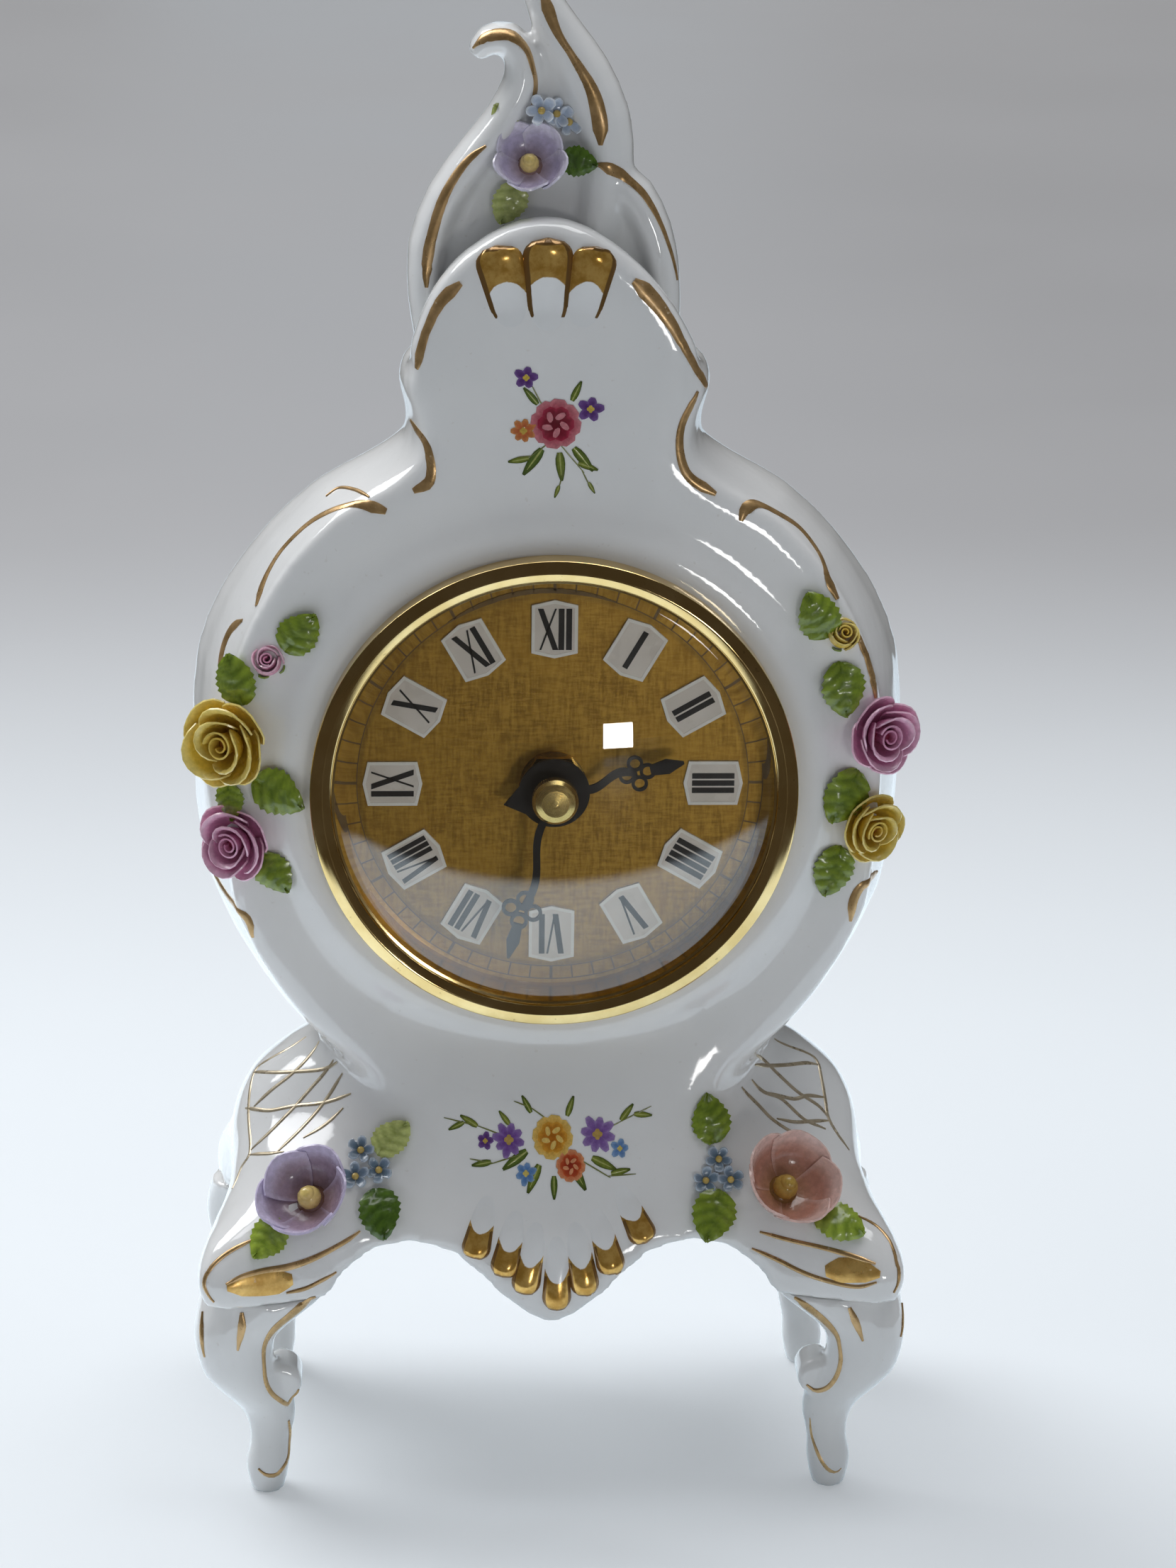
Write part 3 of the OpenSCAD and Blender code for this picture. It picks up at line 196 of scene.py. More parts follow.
def shell_gilding():
    """White glaze, gold and a brown outline by a flute's own tint: red is gold, green the outline."""
    f = Finish("shell_gilding")
    gold_part, outline, _ = f.axes(f.tint())
    brush = f.mottle(0.0026, 4, 0.65)
    white = f.tone(f.step(f.mottle(0.01, 3), 0.3, 0.7), (0.79, 0.80, 0.80), (0.85, 0.86, 0.86))
    gold_tone = f.tone(f.step(brush, 0.32, 0.68), (0.56, 0.30, 0.05), (0.88, 0.56, 0.16))
    edge = f.step(outline + (brush - 0.5) * 0.3, 0.4, 0.62)
    filled = f.step(gold_part + (brush - 0.5) * 0.5, 0.42, 0.56)
    colour = f.tone(edge, f.tone(filled, white, gold_tone), (0.27, 0.15, 0.05))
    metal = f.maths("MAXIMUM", filled, edge) * 0.6
    rough = f.step(f.mottle(0.003, 3), 0.3, 0.75, 0.1, 0.26)
    relief = f.relief(f.mottle(0.0009, 3, 0.6), 0.00004, 0.5)
    return f.close(f.surface(colour, rough, relief, metallic=metal, Coat_Weight=0.25))


def dial_radius(f):
    """Distance from the dial's axis in metres."""
    centred = f.node("Mapping", None, {"Vector": f.place(), "Location": (0.0, 0.0, -DIAL_Z * MM)})
    x, _, z = f.axes(centred)
    across = f.node("CombineXYZ", None, {0: x, 1: 0.0, 2: z})
    return f.node("VectorMath", {"operation": "LENGTH"}, {0: across}, out="Value")


def turned_brass(name, bright, deep, rough_low, rough_high, groove=0.00016, ridge=0.000012):
    f = Finish(name)
    lathe = f.node("TexNoise", {"noise_dimensions": "1D"}, {"W": dial_radius(f) / groove, "Detail": 3.0})
    cloud = f.mottle(0.009, 4, 0.6)
    spots = f.step(f.mottle(0.0012, 2, 0.7), 0.68, 0.76)
    metal = f.tone(f.step(cloud, 0.3, 0.75), deep, bright)
    metal = f.tone(spots * 0.35, metal, (0.20, 0.12, 0.04))
    rough = f.step(cloud * 0.6 + lathe * 0.4, 0.3, 0.7, rough_low, rough_high)
    return f.close(f.surface(metal, rough, f.relief(lathe, ridge, 0.5), metallic=1.0))


def brushed_dial():
    f = Finish("brushed_gilt_dial")
    radius = dial_radius(f)
    brush = f.mottle(0.0009, 4, 0.75, f.stretched((0.25, 1, 1.4)))
    cross = f.mottle(0.0011, 3, 0.7, f.stretched((1.5, 1, 0.22)))
    cloud = f.mottle(0.014, 4, 0.6)
    gilt = f.tone(f.step(cloud, 0.34, 0.68), (0.31, 0.163, 0.016), (0.41, 0.219, 0.021))
    weave = f.step(brush * 0.5 + cross * 0.5, 0.38, 0.62)
    gilt = f.tone(weave, gilt, (0.50, 0.290, 0.040))
    ring = f.step(radius, 0.0330, 0.0338) * (1 - f.step(radius, 0.0338, 0.0346))
    gilt = f.tone(ring * 0.35, gilt, (0.14, 0.085, 0.02))
    rough = f.step(weave, 0.0, 1.0, 0.38, 0.5)
    relief = f.relief(brush * 0.6 + cross * 0.4, 0.00003, 0.6)
    return f.close(f.surface(gilt, rough, relief, metallic=0.6))


def clear_glass():
    """Glass that lets lamps through; its index is above glass's own, for the strength of its mirror."""
    f = Finish("clear_glass")
    smear = f.step(f.mottle(0.02, 4, 0.6), 0.4, 0.8, 0.004, 0.02)
    relief = f.relief(f.mottle(0.03, 1), 0.00002, 0.3)
    glass = f.surface((0.98, 0.99, 0.985, 1.0), smear, relief, Transmission_Weight=1.0, IOR=1.72)
    open_way = f.node("BsdfTransparent")
    return f.close(f.node("MixShader", None, {0: f.ray("Is Shadow Ray"), 1: glass, 2: open_way}))


def moulded(name, dark, light, rough_low, rough_high, grain, depth, coat=0.0, shine=0.5):
    """Moulded plastic, rubber or board: a tone that wanders, a grain and worn high spots."""
    f = Finish(name)
    cloud = f.mottle(0.012, 4, 0.6)
    dust = f.step(f.mottle(0.0009, 3, 0.7), 0.66, 0.8)
    colour = f.tone(f.step(cloud, 0.3, 0.72), dark, light)
    colour = f.tone(dust * 0.25, colour, tuple(min(1, c * 1.6 + 0.05) for c in light))
    rough = f.step(f.mottle(0.004, 3), 0.3, 0.75, rough_low, rough_high)
    relief = f.relief(f.mottle(grain, 2), depth)
    return f.close(f.surface(colour, rough, relief, Coat_Weight=coat, Specular_IOR_Level=shine))


def plated(name, dark, light, rough_low, rough_high, brush):
    """Plated or rolled metal with a brushed direction and dull spots."""
    f = Finish(name)
    cloud = f.mottle(0.007, 4, 0.6)
    lines = f.mottle(0.0005, 3, 0.6, f.stretched(brush))
    dull = f.step(f.mottle(0.0015, 3, 0.7), 0.64, 0.74)
    metal = f.tone(f.step(cloud, 0.3, 0.72), dark, light)
    metal = f.tone(dull * 0.4, metal, tuple(c * 0.55 for c in dark))
    rough = f.step(cloud * 0.5 + lines * 0.5, 0.32, 0.68, rough_low, rough_high)
    return f.close(f.surface(metal, rough, f.relief(lines, 0.00002, 0.6), metallic=1.0))


def wound_wire():
    f = Finish("wound_copper")
    pitch = 0.00022
    turns = f.maths("SINE", f.axes(f.place())[0] * (TAU / pitch))
    cloud = f.mottle(0.004, 3)
    # The copper is painted darker in the grooves between turns and lighter on their crowns: painted shade and
    # painted highlight.
    copper = f.tone(f.step(turns, -1.0, 1.0), (0.25, 0.075, 0.03), (0.72, 0.30, 0.14))
    copper = f.tone(f.step(cloud, 0.3, 0.8) * 0.4, copper, (0.42, 0.16, 0.06))
    rough = f.step(cloud, 0.3, 0.7, 0.24, 0.4)
    return f.close(f.surface(copper, rough, f.relief(turns, 0.00006), metallic=0.9))


def cell_sleeve():
    """A dark sleeve with a gold band towards the cell's +x end and steel at both ends."""
    f = Finish("cell_sleeve")
    x = f.axes(f.place())[0]
    cloud = f.mottle(0.008, 3)
    sleeve = f.tone(f.step(cloud, 0.3, 0.7), (0.020, 0.022, 0.026), (0.035, 0.037, 0.042))
    gold = f.tone(f.step(cloud, 0.3, 0.7), (0.50, 0.30, 0.10), (0.62, 0.40, 0.15))
    band = f.step(x, 0.0108, 0.0110)
    steel = f.step(f.maths("ABSOLUTE", x), 0.0249, 0.0250)
    colour = f.tone(steel, f.tone(band, sleeve, gold), (0.62, 0.62, 0.60))
    rough = f.step(cloud, 0.3, 0.8, 0.16, 0.3)
    relief = f.relief(f.mottle(0.001, 2), 0.00001)
    return f.close(f.surface(colour, rough, relief, metallic=band * 0.4 + steel * 0.6))


# Making pieces
def placed(name, data):
    made = bpy.data.objects.new(name, data)
    bpy.context.scene.collection.objects.link(made)
    return made


def mesh_of(name, bm):
    mesh = bpy.data.meshes.new(name)
    bm.to_mesh(mesh)
    bm.free()
    return mesh


def settle(name, mesh, finish, stands_for=(), smooth=True):
    """Gives a mesh its finish and sets it on the case, in place of the CAD nodes it stands for."""
    crease = 50
    mesh.materials.clear()
    mesh.materials.append(finish)
    if smooth:
        mesh.shade_smooth()
        mesh.set_sharp_from_angle(angle=math.radians(crease))
    made = placed(name, mesh)
    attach(made, "clock_case")
    if stands_for:
        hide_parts(*stands_for)
    return made


def piece(name, bm, finish, stands_for=(), smooth=True):
    return settle(name, mesh_of(name, bm), finish, stands_for, smooth)


def cast_clay(name, node, grain, rounds):
    """A CAD form with its facets melted away, as slip casting and glaze leave it."""
    same_spot = 2e-6
    bm = bmesh.new()
    bm.from_mesh(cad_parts[node].data)
    bmesh.ops.remove_doubles(bm, verts=bm.verts, dist=same_spot)
    cast = placed(name + "_cast", mesh_of(name + "_cast", bm))
    melt = cast.modifiers.new("melt", "REMESH")
    melt.mode, melt.voxel_size, melt.adaptivity = "VOXEL", grain * MM, 0
    wipe = cast.modifiers.new("wipe", "SMOOTH")
    wipe.factor, wipe.iterations = 0.6, rounds
    mesh = bpy.data.meshes.new_from_object(cast.evaluated_get(bpy.context.evaluated_depsgraph_get()))
    mesh.name = name
    bpy.data.objects.remove(cast)
    return settle(name, mesh, porcelain, [node])


def surface_tree(pieces):
    """One tree over several pieces, to find the nearest glaze or the glaze a ray meets."""
    vertices, faces = [], []
    for item in pieces:
        base = len(vertices)
        vertices += [v.co.copy() for v in item.data.vertices]
        faces += [tuple(base + i for i in p.vertices) for p in item.data.polygons]
    return BVHTree.FromPolygons(vertices, faces)


def spline(points, count):
    """Even points along a smooth curve through the given ones, any number of values each."""
    between = 12
    rows = [Vector(p) for p in points]
    ends = [rows[0] * 2 - rows[1]] + rows + [rows[-1] * 2 - rows[-2]]
    fine = []
    for i in range(1, len(ends) - 2):
        a, b, c, d = ends[i - 1 : i + 3]
        for k in range(between):
            t = k / between
            fine.append(
                (b * 2 + (c - a) * t + (a * 2 - b * 5 + c * 4 - d) * t * t
                 + (b * 3 - a - c * 3 + d) * t * t * t) * 0.5
            )
    fine.append(ends[-2])
    lengths = [0.0]
    for a, b in zip(fine, fine[1:]):
        lengths.append(lengths[-1] + (Vector(b[:3]) - Vector(a[:3])).length)
    even, k = [], 0
    for i in range(count):
        want = lengths[-1] * i / (count - 1)
        while k < len(fine) - 2 and lengths[k + 1] < want:
            k += 1
        span = max(lengths[k + 1] - lengths[k], 1e-12)
        even.append(fine[k].lerp(fine[k + 1], min(1.0, max(0.0, (want - lengths[k]) / span))))
    return even


def arc(cx, cy, r, start, end, count):
    turns = (math.radians(start + (end - start) * i / count) for i in range(count + 1))
    return [(cx + r * math.cos(a), cy + r * math.sin(a)) for a in turns]


def tinted_clay():
    """An empty mesh whose points can each hold a colour."""
    bm = bmesh.new()
    bm.verts.layers.float_color.new(TINT)
    return bm


def grid(bm, across, along):
    """A new grid, returned as rows of vertices along its length."""
    made = bmesh.ops.create_grid(bm, x_segments=across, y_segments=along, size=0.5)["verts"]
    made.sort(key=lambda v: (round(v.co.y, 5), round(v.co.x, 5)))
    width = across + 1
    return [made[i * width : (i + 1) * width] for i in range(along + 1)]


def sheet(bm, across, along):
    """Each point of a new grid with its share of the way across, from -1 to 1, and along."""
    for i, row in enumerate(grid(bm, across, along)):
        for k, v in enumerate(row):
            yield v, 2 * k / across - 1, i / along


def close_up(bm, wall):
    """Right way out, then a wall in mm, so that a sheet becomes a closed piece."""
    bmesh.ops.recalc_face_normals(bm, faces=bm.faces)
    bmesh.ops.solidify(bm, geom=bm.faces[:], thickness=-wall * MM)
    bmesh.ops.recalc_face_normals(bm, faces=bm.faces)


# Case and gilding
porcelain = glazed_porcelain()
baked = [("case_glazed", "case_shell", 1.3, 7), ("crest_glazed", "crest", 0.7, 8)]
baked += [(f"leg_{leg}_glazed", f"leg_{leg}", 0.7, 6)
          for leg in ("front_left", "front_right", "back_left", "back_right")]
clay = surface_tree([cast_clay(*facts) for facts in baked])


def ribbon(bm, path, lift=0.16, start=0.35, end=0.35):
    """A brush stroke laid on the clay along a path of (x, y, z, half width) in mm, with the shares
    of its width that are left at its two tips."""
    spacing, across, tip_rows, sunk = 0.8, 6, 3, 0.03
    length = sum((Vector(a[:3]) - Vector(b[:3])).length for a, b in zip(path, path[1:]))
    steps = max(6, int(length / spacing))
    line = spline(path, steps + 1)
    seats = [clay.find_nearest(Vector(p[:3]) * MM)[:2] for p in line]
    for i, row in enumerate(grid(bm, across, steps)):
        place, up = seats[i]
        along = (seats[min(i + 1, steps)][0] - seats[max(i - 1, 0)][0]).normalized()
        side = along.cross(up).normalized()
        near_start, near_end = i / tip_rows, (steps - i) / tip_rows
        blunt = min(1.0, start + (1 - start) * near_start, end + (1 - end) * near_end)
        half = line[i][3] * MM * blunt
        for k, v in enumerate(row):
            u = 2 * k / across - 1
            seat, normal = clay.find_nearest(place + side * (half * u))[:2]
            v.co = seat + normal * ((lift * (1 - abs(u) ** 2.2) - sunk) * MM)


def gilding(name, strokes, finish, wall=0.12, **how):
    bm = bmesh.new()
    for path in strokes:
        ribbon(bm, path, **how)
    close_up(bm, wall)
    piece(name, bm, finish)


gold = fired_gilding("fired_gilding", (0.64, 0.42, 0.20), (0.40, 0.25, 0.10), 0.6)
patch_gold = fired_gilding("patch_gilding", (0.86, 0.56, 0.18), (0.56, 0.31, 0.07), 0.62)
pale_gold = fired_gilding("pale_gilding", (0.66, 0.57, 0.42), (0.48, 0.40, 0.27), 0.5)

# Strokes as (x, y, z, half width) in mm
GILT_STROKES = {
    "gilt_shield_right": [
        [(12.6, -12.6, 219.6, 1.5), (15.5, -12.6, 217.1, 1.5), (18.8, -12.6, 212.9, 1.1),
         (22.1, -12.5, 207.3, 0.7), (24.3, -10.5, 203.3, 1.0), (25.9, -7.9, 200.6, 1.7)],
        [(24.1, -11.8, 200.4, 0.6), (21.3, -12.1, 194.7, 0.65), (21.1, -12.1, 189.7, 0.75),
         (22.7, -12.5, 185.7, 0.8), (27.3, -12.4, 182.7, 1.0)],
    ],
    "gilt_shield_left": [
        [(-16.5, -12.6, 219.1, 1.2), (-20.1, -12.6, 215.8, 1.0), (-22.4, -12.4, 210.9, 0.75),
         (-23.6, -12.3, 206.9, 0.85), (-24.0, -11.3, 204.2, 1.2)],
        [(-24.8, -3.7, 193.4, 0.7), (-22.8, -10.3, 191.7, 0.75), (-21.6, -12.3, 188.1, 0.75),
         (-21.8, -12.6, 184.8, 0.9), (-24.5, -12.6, 183.2, 1.2)],
    ],
    "gilt_shoulders": [
        [(31.7, -12.6, 178.0, 1.0), (32.5, -12.3, 180.0, 1.1), (34.8, -10.4, 180.5, 0.9),
         (38.4, -9.1, 178.5, 0.75), (42.4, -6.8, 175.3, 0.75), (45.8, -7.8, 171.0, 0.75),
         (47.6, -11.6, 167.6, 0.9), (49.0, -12.1, 163.9, 1.0)],
        [(-29.1, -12.6, 179.6, 1.4), (-31.5, -12.4, 180.4, 1.0), (-34.5, -10.8, 180.6, 0.75),
         (-38.2, -8.3, 178.9, 0.7), (-41.9, -5.8, 176.3, 0.7), (-45.0, -4.8, 173.5, 0.65),
         (-47.5, -4.6, 170.8, 0.65), (-49.6, -5.2, 167.8, 0.75), (-50.9, -6.4, 165.1, 0.95),
         (-51.5, -8.6, 161.7, 1.1)],
        [(-54.1, -6.2, 158.5, 0.6), (-56.4, -3.2, 156.1, 1.0), (-57.9, -2.6, 153.1, 1.1),
         (-58.4, -3.2, 150.2, 1.0), (-58.2, -4.8, 147.7, 0.85)],
        [(51.7, -12.1, 159.5, 0.6), (54.2, -11.8, 154.9, 0.75), (55.9, -11.7, 150.4, 0.85),
         (56.8, -11.9, 145.9, 0.85)],
        [(-60.5, 1.9, 108.4, 0.7), (-57.9, -5.0, 107.0, 0.75), (-54.3, -12.2, 105.8, 0.75),
         (-53.1, -11.9, 101.5, 0.65)],
        [(59.3, -3.1, 110.4, 0.6), (55.7, -12.1, 111.3, 0.75), (53.6, -12.3, 108.7, 0.85),
         (53.2, -12.2, 104.4, 0.65)],
    ],
    "gilt_crest": [
        [(-14.4, -0.5, 256.6, 0.35), (-13.0, -1.5, 258.3, 1.0), (-10.2, -2.2, 259.4, 1.35),
         (-7.5, -2.4, 259.0, 1.2), (-5.4, -2.4, 256.9, 0.8), (-4.3, -2.7, 254.0, 0.6),
         (-4.0, -1.6, 250.9, 0.65), (-4.6, -0.6, 247.4, 0.75)],
        [(-12.2, -4.4, 240.8, 0.35), (-14.5, -4.0, 239.0, 0.55), (-16.5, -3.9, 236.8, 0.75),
         (-18.5, -4.0, 233.6, 0.85), (-20.0, -4.2, 230.1, 0.95), (-21.0, -4.4, 226.5, 0.95),
         (-21.7, -4.3, 223.2, 1.05), (-22.1, -4.3, 220.0, 0.9), (-22.2, -4.3, 216.6, 0.6)],
        [(-2.7, -1.9, 265.8, 1.25), (-1.9, -2.2, 263.4, 1.1), (-0.3, -2.9, 259.5, 0.7),
         (1.7, -3.3, 256.5, 0.55), (3.7, -3.5, 253.4, 0.8), (5.3, -3.6, 250.7, 1.05),
         (6.4, -3.8, 247.6, 1.3), (7.0, -3.8, 244.0, 1.35), (7.1, -3.6, 240.9, 0.9)],
        [(6.5, -3.1, 237.6, 0.6), (8.1, -3.6, 237.2, 1.0), (11.0, -2.6, 235.7, 0.85),
         (13.8, -2.9, 233.6, 0.75), (16.0, -3.1, 230.8, 0.65), (17.7, -3.1, 227.6, 0.5),
         (19.1, -2.8, 223.9, 0.45), (20.1, -2.2, 220.6, 0.4), (20.6, -1.6, 217.6, 0.35)],
    ],
    "gilt_side_line": [
        [(-32.1, -11.1, 181.9, 0.3), (-34.6, -5.5, 181.7, 0.3), (-37.3, -1.0, 180.8, 0.3),
         (-39.5, -1.3, 179.4, 0.3)],
    ],
    "gilt_base": [
        [(-59.8, -35.0, 41.9, 0.25), (-61.4, -34.9, 43.9, 0.28), (-61.8, -34.8, 45.8, 0.3),
         (-60.5, -33.9, 48.0, 0.33), (-58.4, -32.9, 49.7, 0.33), (-56.0, -32.1, 51.1, 0.33),
         (-52.6, -31.0, 52.4, 0.25)],
        [(-57.6, -35.4, 45.5, 0.3), (-54.5, -34.3, 46.6, 0.45), (-50.9, -33.2, 47.1, 0.5),
         (-46.7, -32.0, 47.2, 0.6), (-42.5, -30.4, 48.0, 0.5), (-38.9, -29.0, 49.3, 0.4),
         (-35.9, -27.9, 50.7, 0.33), (-34.1, -27.1, 51.8, 0.25)],
        [(-47.1, -32.7, 42.5, 0.35), (-43.8, -31.6, 42.8, 0.33), (-40.8, -30.5, 43.9, 0.3),
         (-38.2, -29.8, 45.0, 0.25)],
        [(54.6, -27.3, 54.1, 0.25), (57.7, -27.9, 52.5, 0.33), (60.0, -30.2, 50.8, 0.36),
         (61.2, -33.2, 48.8, 0.33), (61.6, -34.6, 46.4, 0.3), (61.4, -34.9, 44.0, 0.28),
         (60.6, -35.0, 42.5, 0.25)],
        [(37.0, -27.8, 51.3, 0.25), (42.3, -29.5, 50.4, 0.3), (47.8, -31.3, 49.8, 0.33),
         (52.1, -32.7, 49.1, 0.4), (57.1, -34.4, 48.0, 0.3)],
        [(35.6, -28.5, 48.4, 0.25), (40.1, -29.9, 46.8, 0.33), (44.5, -31.6, 45.1, 0.36),
         (48.9, -33.2, 44.1, 0.36), (53.8, -34.6, 43.6, 0.3), (57.3, -35.4, 44.8, 0.25)],
    ],
    "gilt_legs": [
        [(-41.9, -31.0, 40.2, 0.6), (-43.4, -31.4, 39.4, 0.95), (-46.5, -31.8, 37.0, 1.1),
         (-49.0, -32.0, 34.9, 0.95), (-50.5, -31.6, 32.2, 0.6), (-51.1, -31.0, 28.1, 0.36),
         (-51.0, -30.8, 24.4, 0.36), (-50.0, -30.2, 21.6, 0.36), (-48.2, -28.8, 19.2, 0.36),
         (-46.8, -28.0, 18.0, 0.36), (-45.6, -28.3, 18.9, 0.33), (-45.0, -28.7, 21.1, 0.3)],
        [(42.9, -31.0, 39.6, 0.6), (44.8, -31.2, 38.4, 0.95), (47.2, -31.7, 36.6, 1.05),
         (49.4, -31.9, 34.4, 0.85), (50.8, -31.7, 32.4, 0.55), (51.5, -31.3, 30.5, 0.36),
         (51.9, -31.3, 27.4, 0.36), (51.2, -30.9, 24.0, 0.36), (49.7, -30.0, 21.4, 0.36),
         (47.8, -28.7, 20.3, 0.36), (46.2, -28.7, 21.4, 0.3)],
        [(-55.0, -32.7, 38.8, 0.75), (-55.0, -33.2, 36.3, 0.7), (-55.5, -33.3, 33.4, 0.45),
         (-55.8, -33.1, 31.6, 0.3)],
        [(52.9, -33.0, 38.8, 0.7), (53.9, -33.3, 36.5, 0.65), (54.9, -33.2, 34.0, 0.45),
         (55.5, -33.1, 32.3, 0.3)],
        [(-47.1, -26.9, 14.4, 0.3), (-46.9, -25.4, 10.0, 0.36), (-47.2, -25.8, 7.0, 0.4),
         (-48.2, -27.4, 5.0, 0.4), (-49.4, -27.9, 4.0, 0.4), (-51.3, -28.3, 4.2, 0.36),
         (-52.7, -28.1, 5.4, 0.3)],
        [(-62.1, -28.8, 37.2, 0.3), (-62.3, -29.9, 34.7, 0.55), (-62.2, -30.6, 32.3, 0.5),
         (-61.8, -30.9, 29.3, 0.3)],
        [(63.4, -26.7, 36.6, 0.3), (63.3, -28.6, 34.4, 0.5), (62.6, -30.2, 31.6, 0.3)],
        [(47.2, -26.9, 13.8, 0.3), (47.6, -26.5, 10.4, 0.36), (48.5, -27.5, 7.6, 0.4),
         (49.6, -28.2, 5.4, 0.42), (50.9, -28.2, 3.8, 0.42), (52.3, -27.9, 3.2, 0.4),
         (53.2, -27.5, 3.9, 0.33)],
    ],
}
GILT_PATCHES = [
    [(-57.4, -35.4, 44.8, 1.1), (-55.4, -34.9, 44.9, 1.8), (-52.7, -34.1, 44.9, 2.2),
     (-49.7, -33.4, 44.8, 2.3), (-47.3, -32.6, 44.8, 2.1), (-46.0, -32.2, 44.9, 1.6)],
    [(57.9, -35.2, 46.3, 1.1), (56.3, -34.9, 46.4, 1.7), (54.0, -34.2, 46.5, 2.1),
     (51.6, -33.6, 46.4, 2.3), (49.6, -33.1, 46.1, 2.1), (48.4, -32.8, 45.9, 1.6)],
]
# Lattice lines as (x, y, z) in mm, all of one width
LATTICE_HALF = 0.34
LATTICE = {
    "lattice_left": [
        [(-44.1, 8.3, 74.5), (-47.6, 6.7, 73.0), (-50.8, 7.3, 70.8), (-53.4, 7.8, 68.8),
         (-54.4, 3.9, 66.7), (-54.6, -0.1, 63.7), (-54.3, -3.8, 61.4), (-54.2, -8.9, 58.9),
         (-55.7, -10.1, 56.5), (-57.2, -13.7, 54.2)],
        [(-53.9, 7.3, 68.0), (-51.4, 3.8, 69.5), (-49.0, 1.6, 70.4), (-44.7, -1.2, 71.7),
         (-40.7, -3.6, 73.1), (-38.0, -5.2, 75.2)],
        [(-55.0, 1.0, 63.5), (-52.8, -2.0, 64.6), (-50.2, -4.1, 65.3), (-45.8, -6.1, 67.0),
         (-40.7, -8.4, 68.5), (-35.6, -10.2, 71.0)],
        [(-54.2, -9.2, 58.8), (-50.7, -12.1, 60.2), (-47.8, -13.9, 61.4)],
        [(-53.5, -0.8, 64.7), (-49.9, -0.6, 68.2), (-46.7, -0.4, 70.7), (-44.1, 0.4, 73.2),
         (-41.4, 2.8, 75.8)],
        [(-53.9, -8.4, 59.4), (-51.1, -8.1, 62.1), (-48.4, -7.2, 64.6), (-45.8, -6.1, 67.0),
         (-43.3, -5.0, 69.6), (-40.7, -4.3, 72.4), (-38.8, -4.0, 75.0)],
        [(-49.3, -13.2, 60.7), (-45.7, -11.5, 63.8), (-42.9, -9.9, 66.2), (-40.4, -8.3, 68.9),
         (-38.2, -7.1, 72.0), (-37.1, -7.0, 73.7)],
        [(-44.3, -13.0, 63.7), (-40.7, -12.5, 65.8), (-37.1, -11.2, 68.7)],
    ],
    "lattice_right": [
        [(41.7, 3.3, 75.6), (45.9, 4.2, 73.4), (49.6, 4.8, 71.2), (50.5, 1.0, 68.9),
         (50.9, -2.8, 65.7), (51.2, -5.4, 63.7), (52.8, -7.3, 61.1), (54.8, -8.5, 58.5)],
        [(37.2, -6.4, 74.6), (40.8, -3.3, 73.1), (44.2, -0.9, 72.3), (47.9, 2.0, 71.5),
         (50.2, 3.6, 70.4)],
        [(38.9, -8.2, 70.0), (42.0, -7.0, 68.6), (44.9, -6.0, 67.6), (47.4, -4.1, 67.5),
         (50.8, -2.2, 66.3)],
        [(41.0, -11.4, 66.0), (44.4, -10.2, 64.6), (47.8, -8.4, 64.2), (51.2, -6.0, 63.3)],
        [(34.6, -10.6, 72.0), (37.6, -10.7, 68.7), (40.2, -12.0, 66.4), (42.9, -12.7, 64.6),
         (45.5, -12.9, 63.2)],
        [(36.6, -8.2, 72.4), (38.9, -8.2, 70.0), (42.3, -7.4, 68.2), (46.4, -8.9, 64.8),
         (50.4, -8.2, 62.6)],
        [(37.3, -6.1, 76.6), (39.2, -3.8, 74.4), (41.9, -3.8, 71.6), (45.7, -4.5, 68.2),
         (49.6, -4.6, 65.5), (51.4, -5.6, 63.6)],
    ],
}
for name, strokes in GILT_STROKES.items():
    gilding(name, strokes, gold)
gilding("gilt_base_patches", GILT_PATCHES, patch_gold, start=0.5, end=0.6)
for name, lines in LATTICE.items():
    gilding(name, [[(*p, LATTICE_HALF) for p in line] for line in lines], pale_gold, 0.08, lift=0.1)


# Shells
def flute(bm, tip, tail, halves, lifts, gold_share, outlined=(True, True), line_to=0.85):
    """A shell's flute laid on the clay: a round gilded tip that runs out into a thin white tail,
    the gold reaching less far down its middle."""
    along, across, rounded, fading, sunk = 22, 12, 0.22, 0.72, 0.12
    tip, tail = Vector(tip), Vector(tail)
    key = bm.verts.layers.float_color[TINT]
    axis = (tail - tip).normalized()
    for i, row in enumerate(grid(bm, across, along)):
        t = i / along
        centre = tip.lerp(tail, t) - axis * (halves[0] * 0.8 * (1 - t))
        round_end = math.sqrt(max(0.0, 1 - max(0.0, 1 - t / rounded) ** 2))
        run_out = math.sqrt(max(0.0, 1 - max(0.0, (t - fading) / (1 - fading)) ** 2))
        half = (halves[0] + (halves[1] - halves[0]) * t ** 0.8) * max(0.04, round_end) * max(0.08, run_out)
        lift = (lifts[0] + (lifts[1] - lifts[0]) * min(1.0, t * 1.3)) * round_end ** 0.7 * run_out
        place, up = clay.find_nearest(centre * MM)[:2]
        side = axis.cross(up).normalized()
        for k, v in enumerate(row):
            u = 2 * k / across - 1
            seat, normal = clay.find_nearest(place + side * (half * u * MM))[:2]
            v.co = seat + normal * ((lift * (1 - u * u) ** 0.55 - sunk) * MM)
            reach = gold_share * (0.72 + 0.4 * u * u)
            gold_part = 1.0 if t < reach else max(0.0, 1 - (t - reach) / 0.12)
            rim = 0.0
            if t < line_to and outlined[0 if u < 0 else 1]:
                rim = max(0.0, min(1.0, (abs(u) - 0.66) / 0.16))
            if t < 0.07:
                rim = 1.0
            v[key] = (gold_part, rim, 0.0, 1.0)


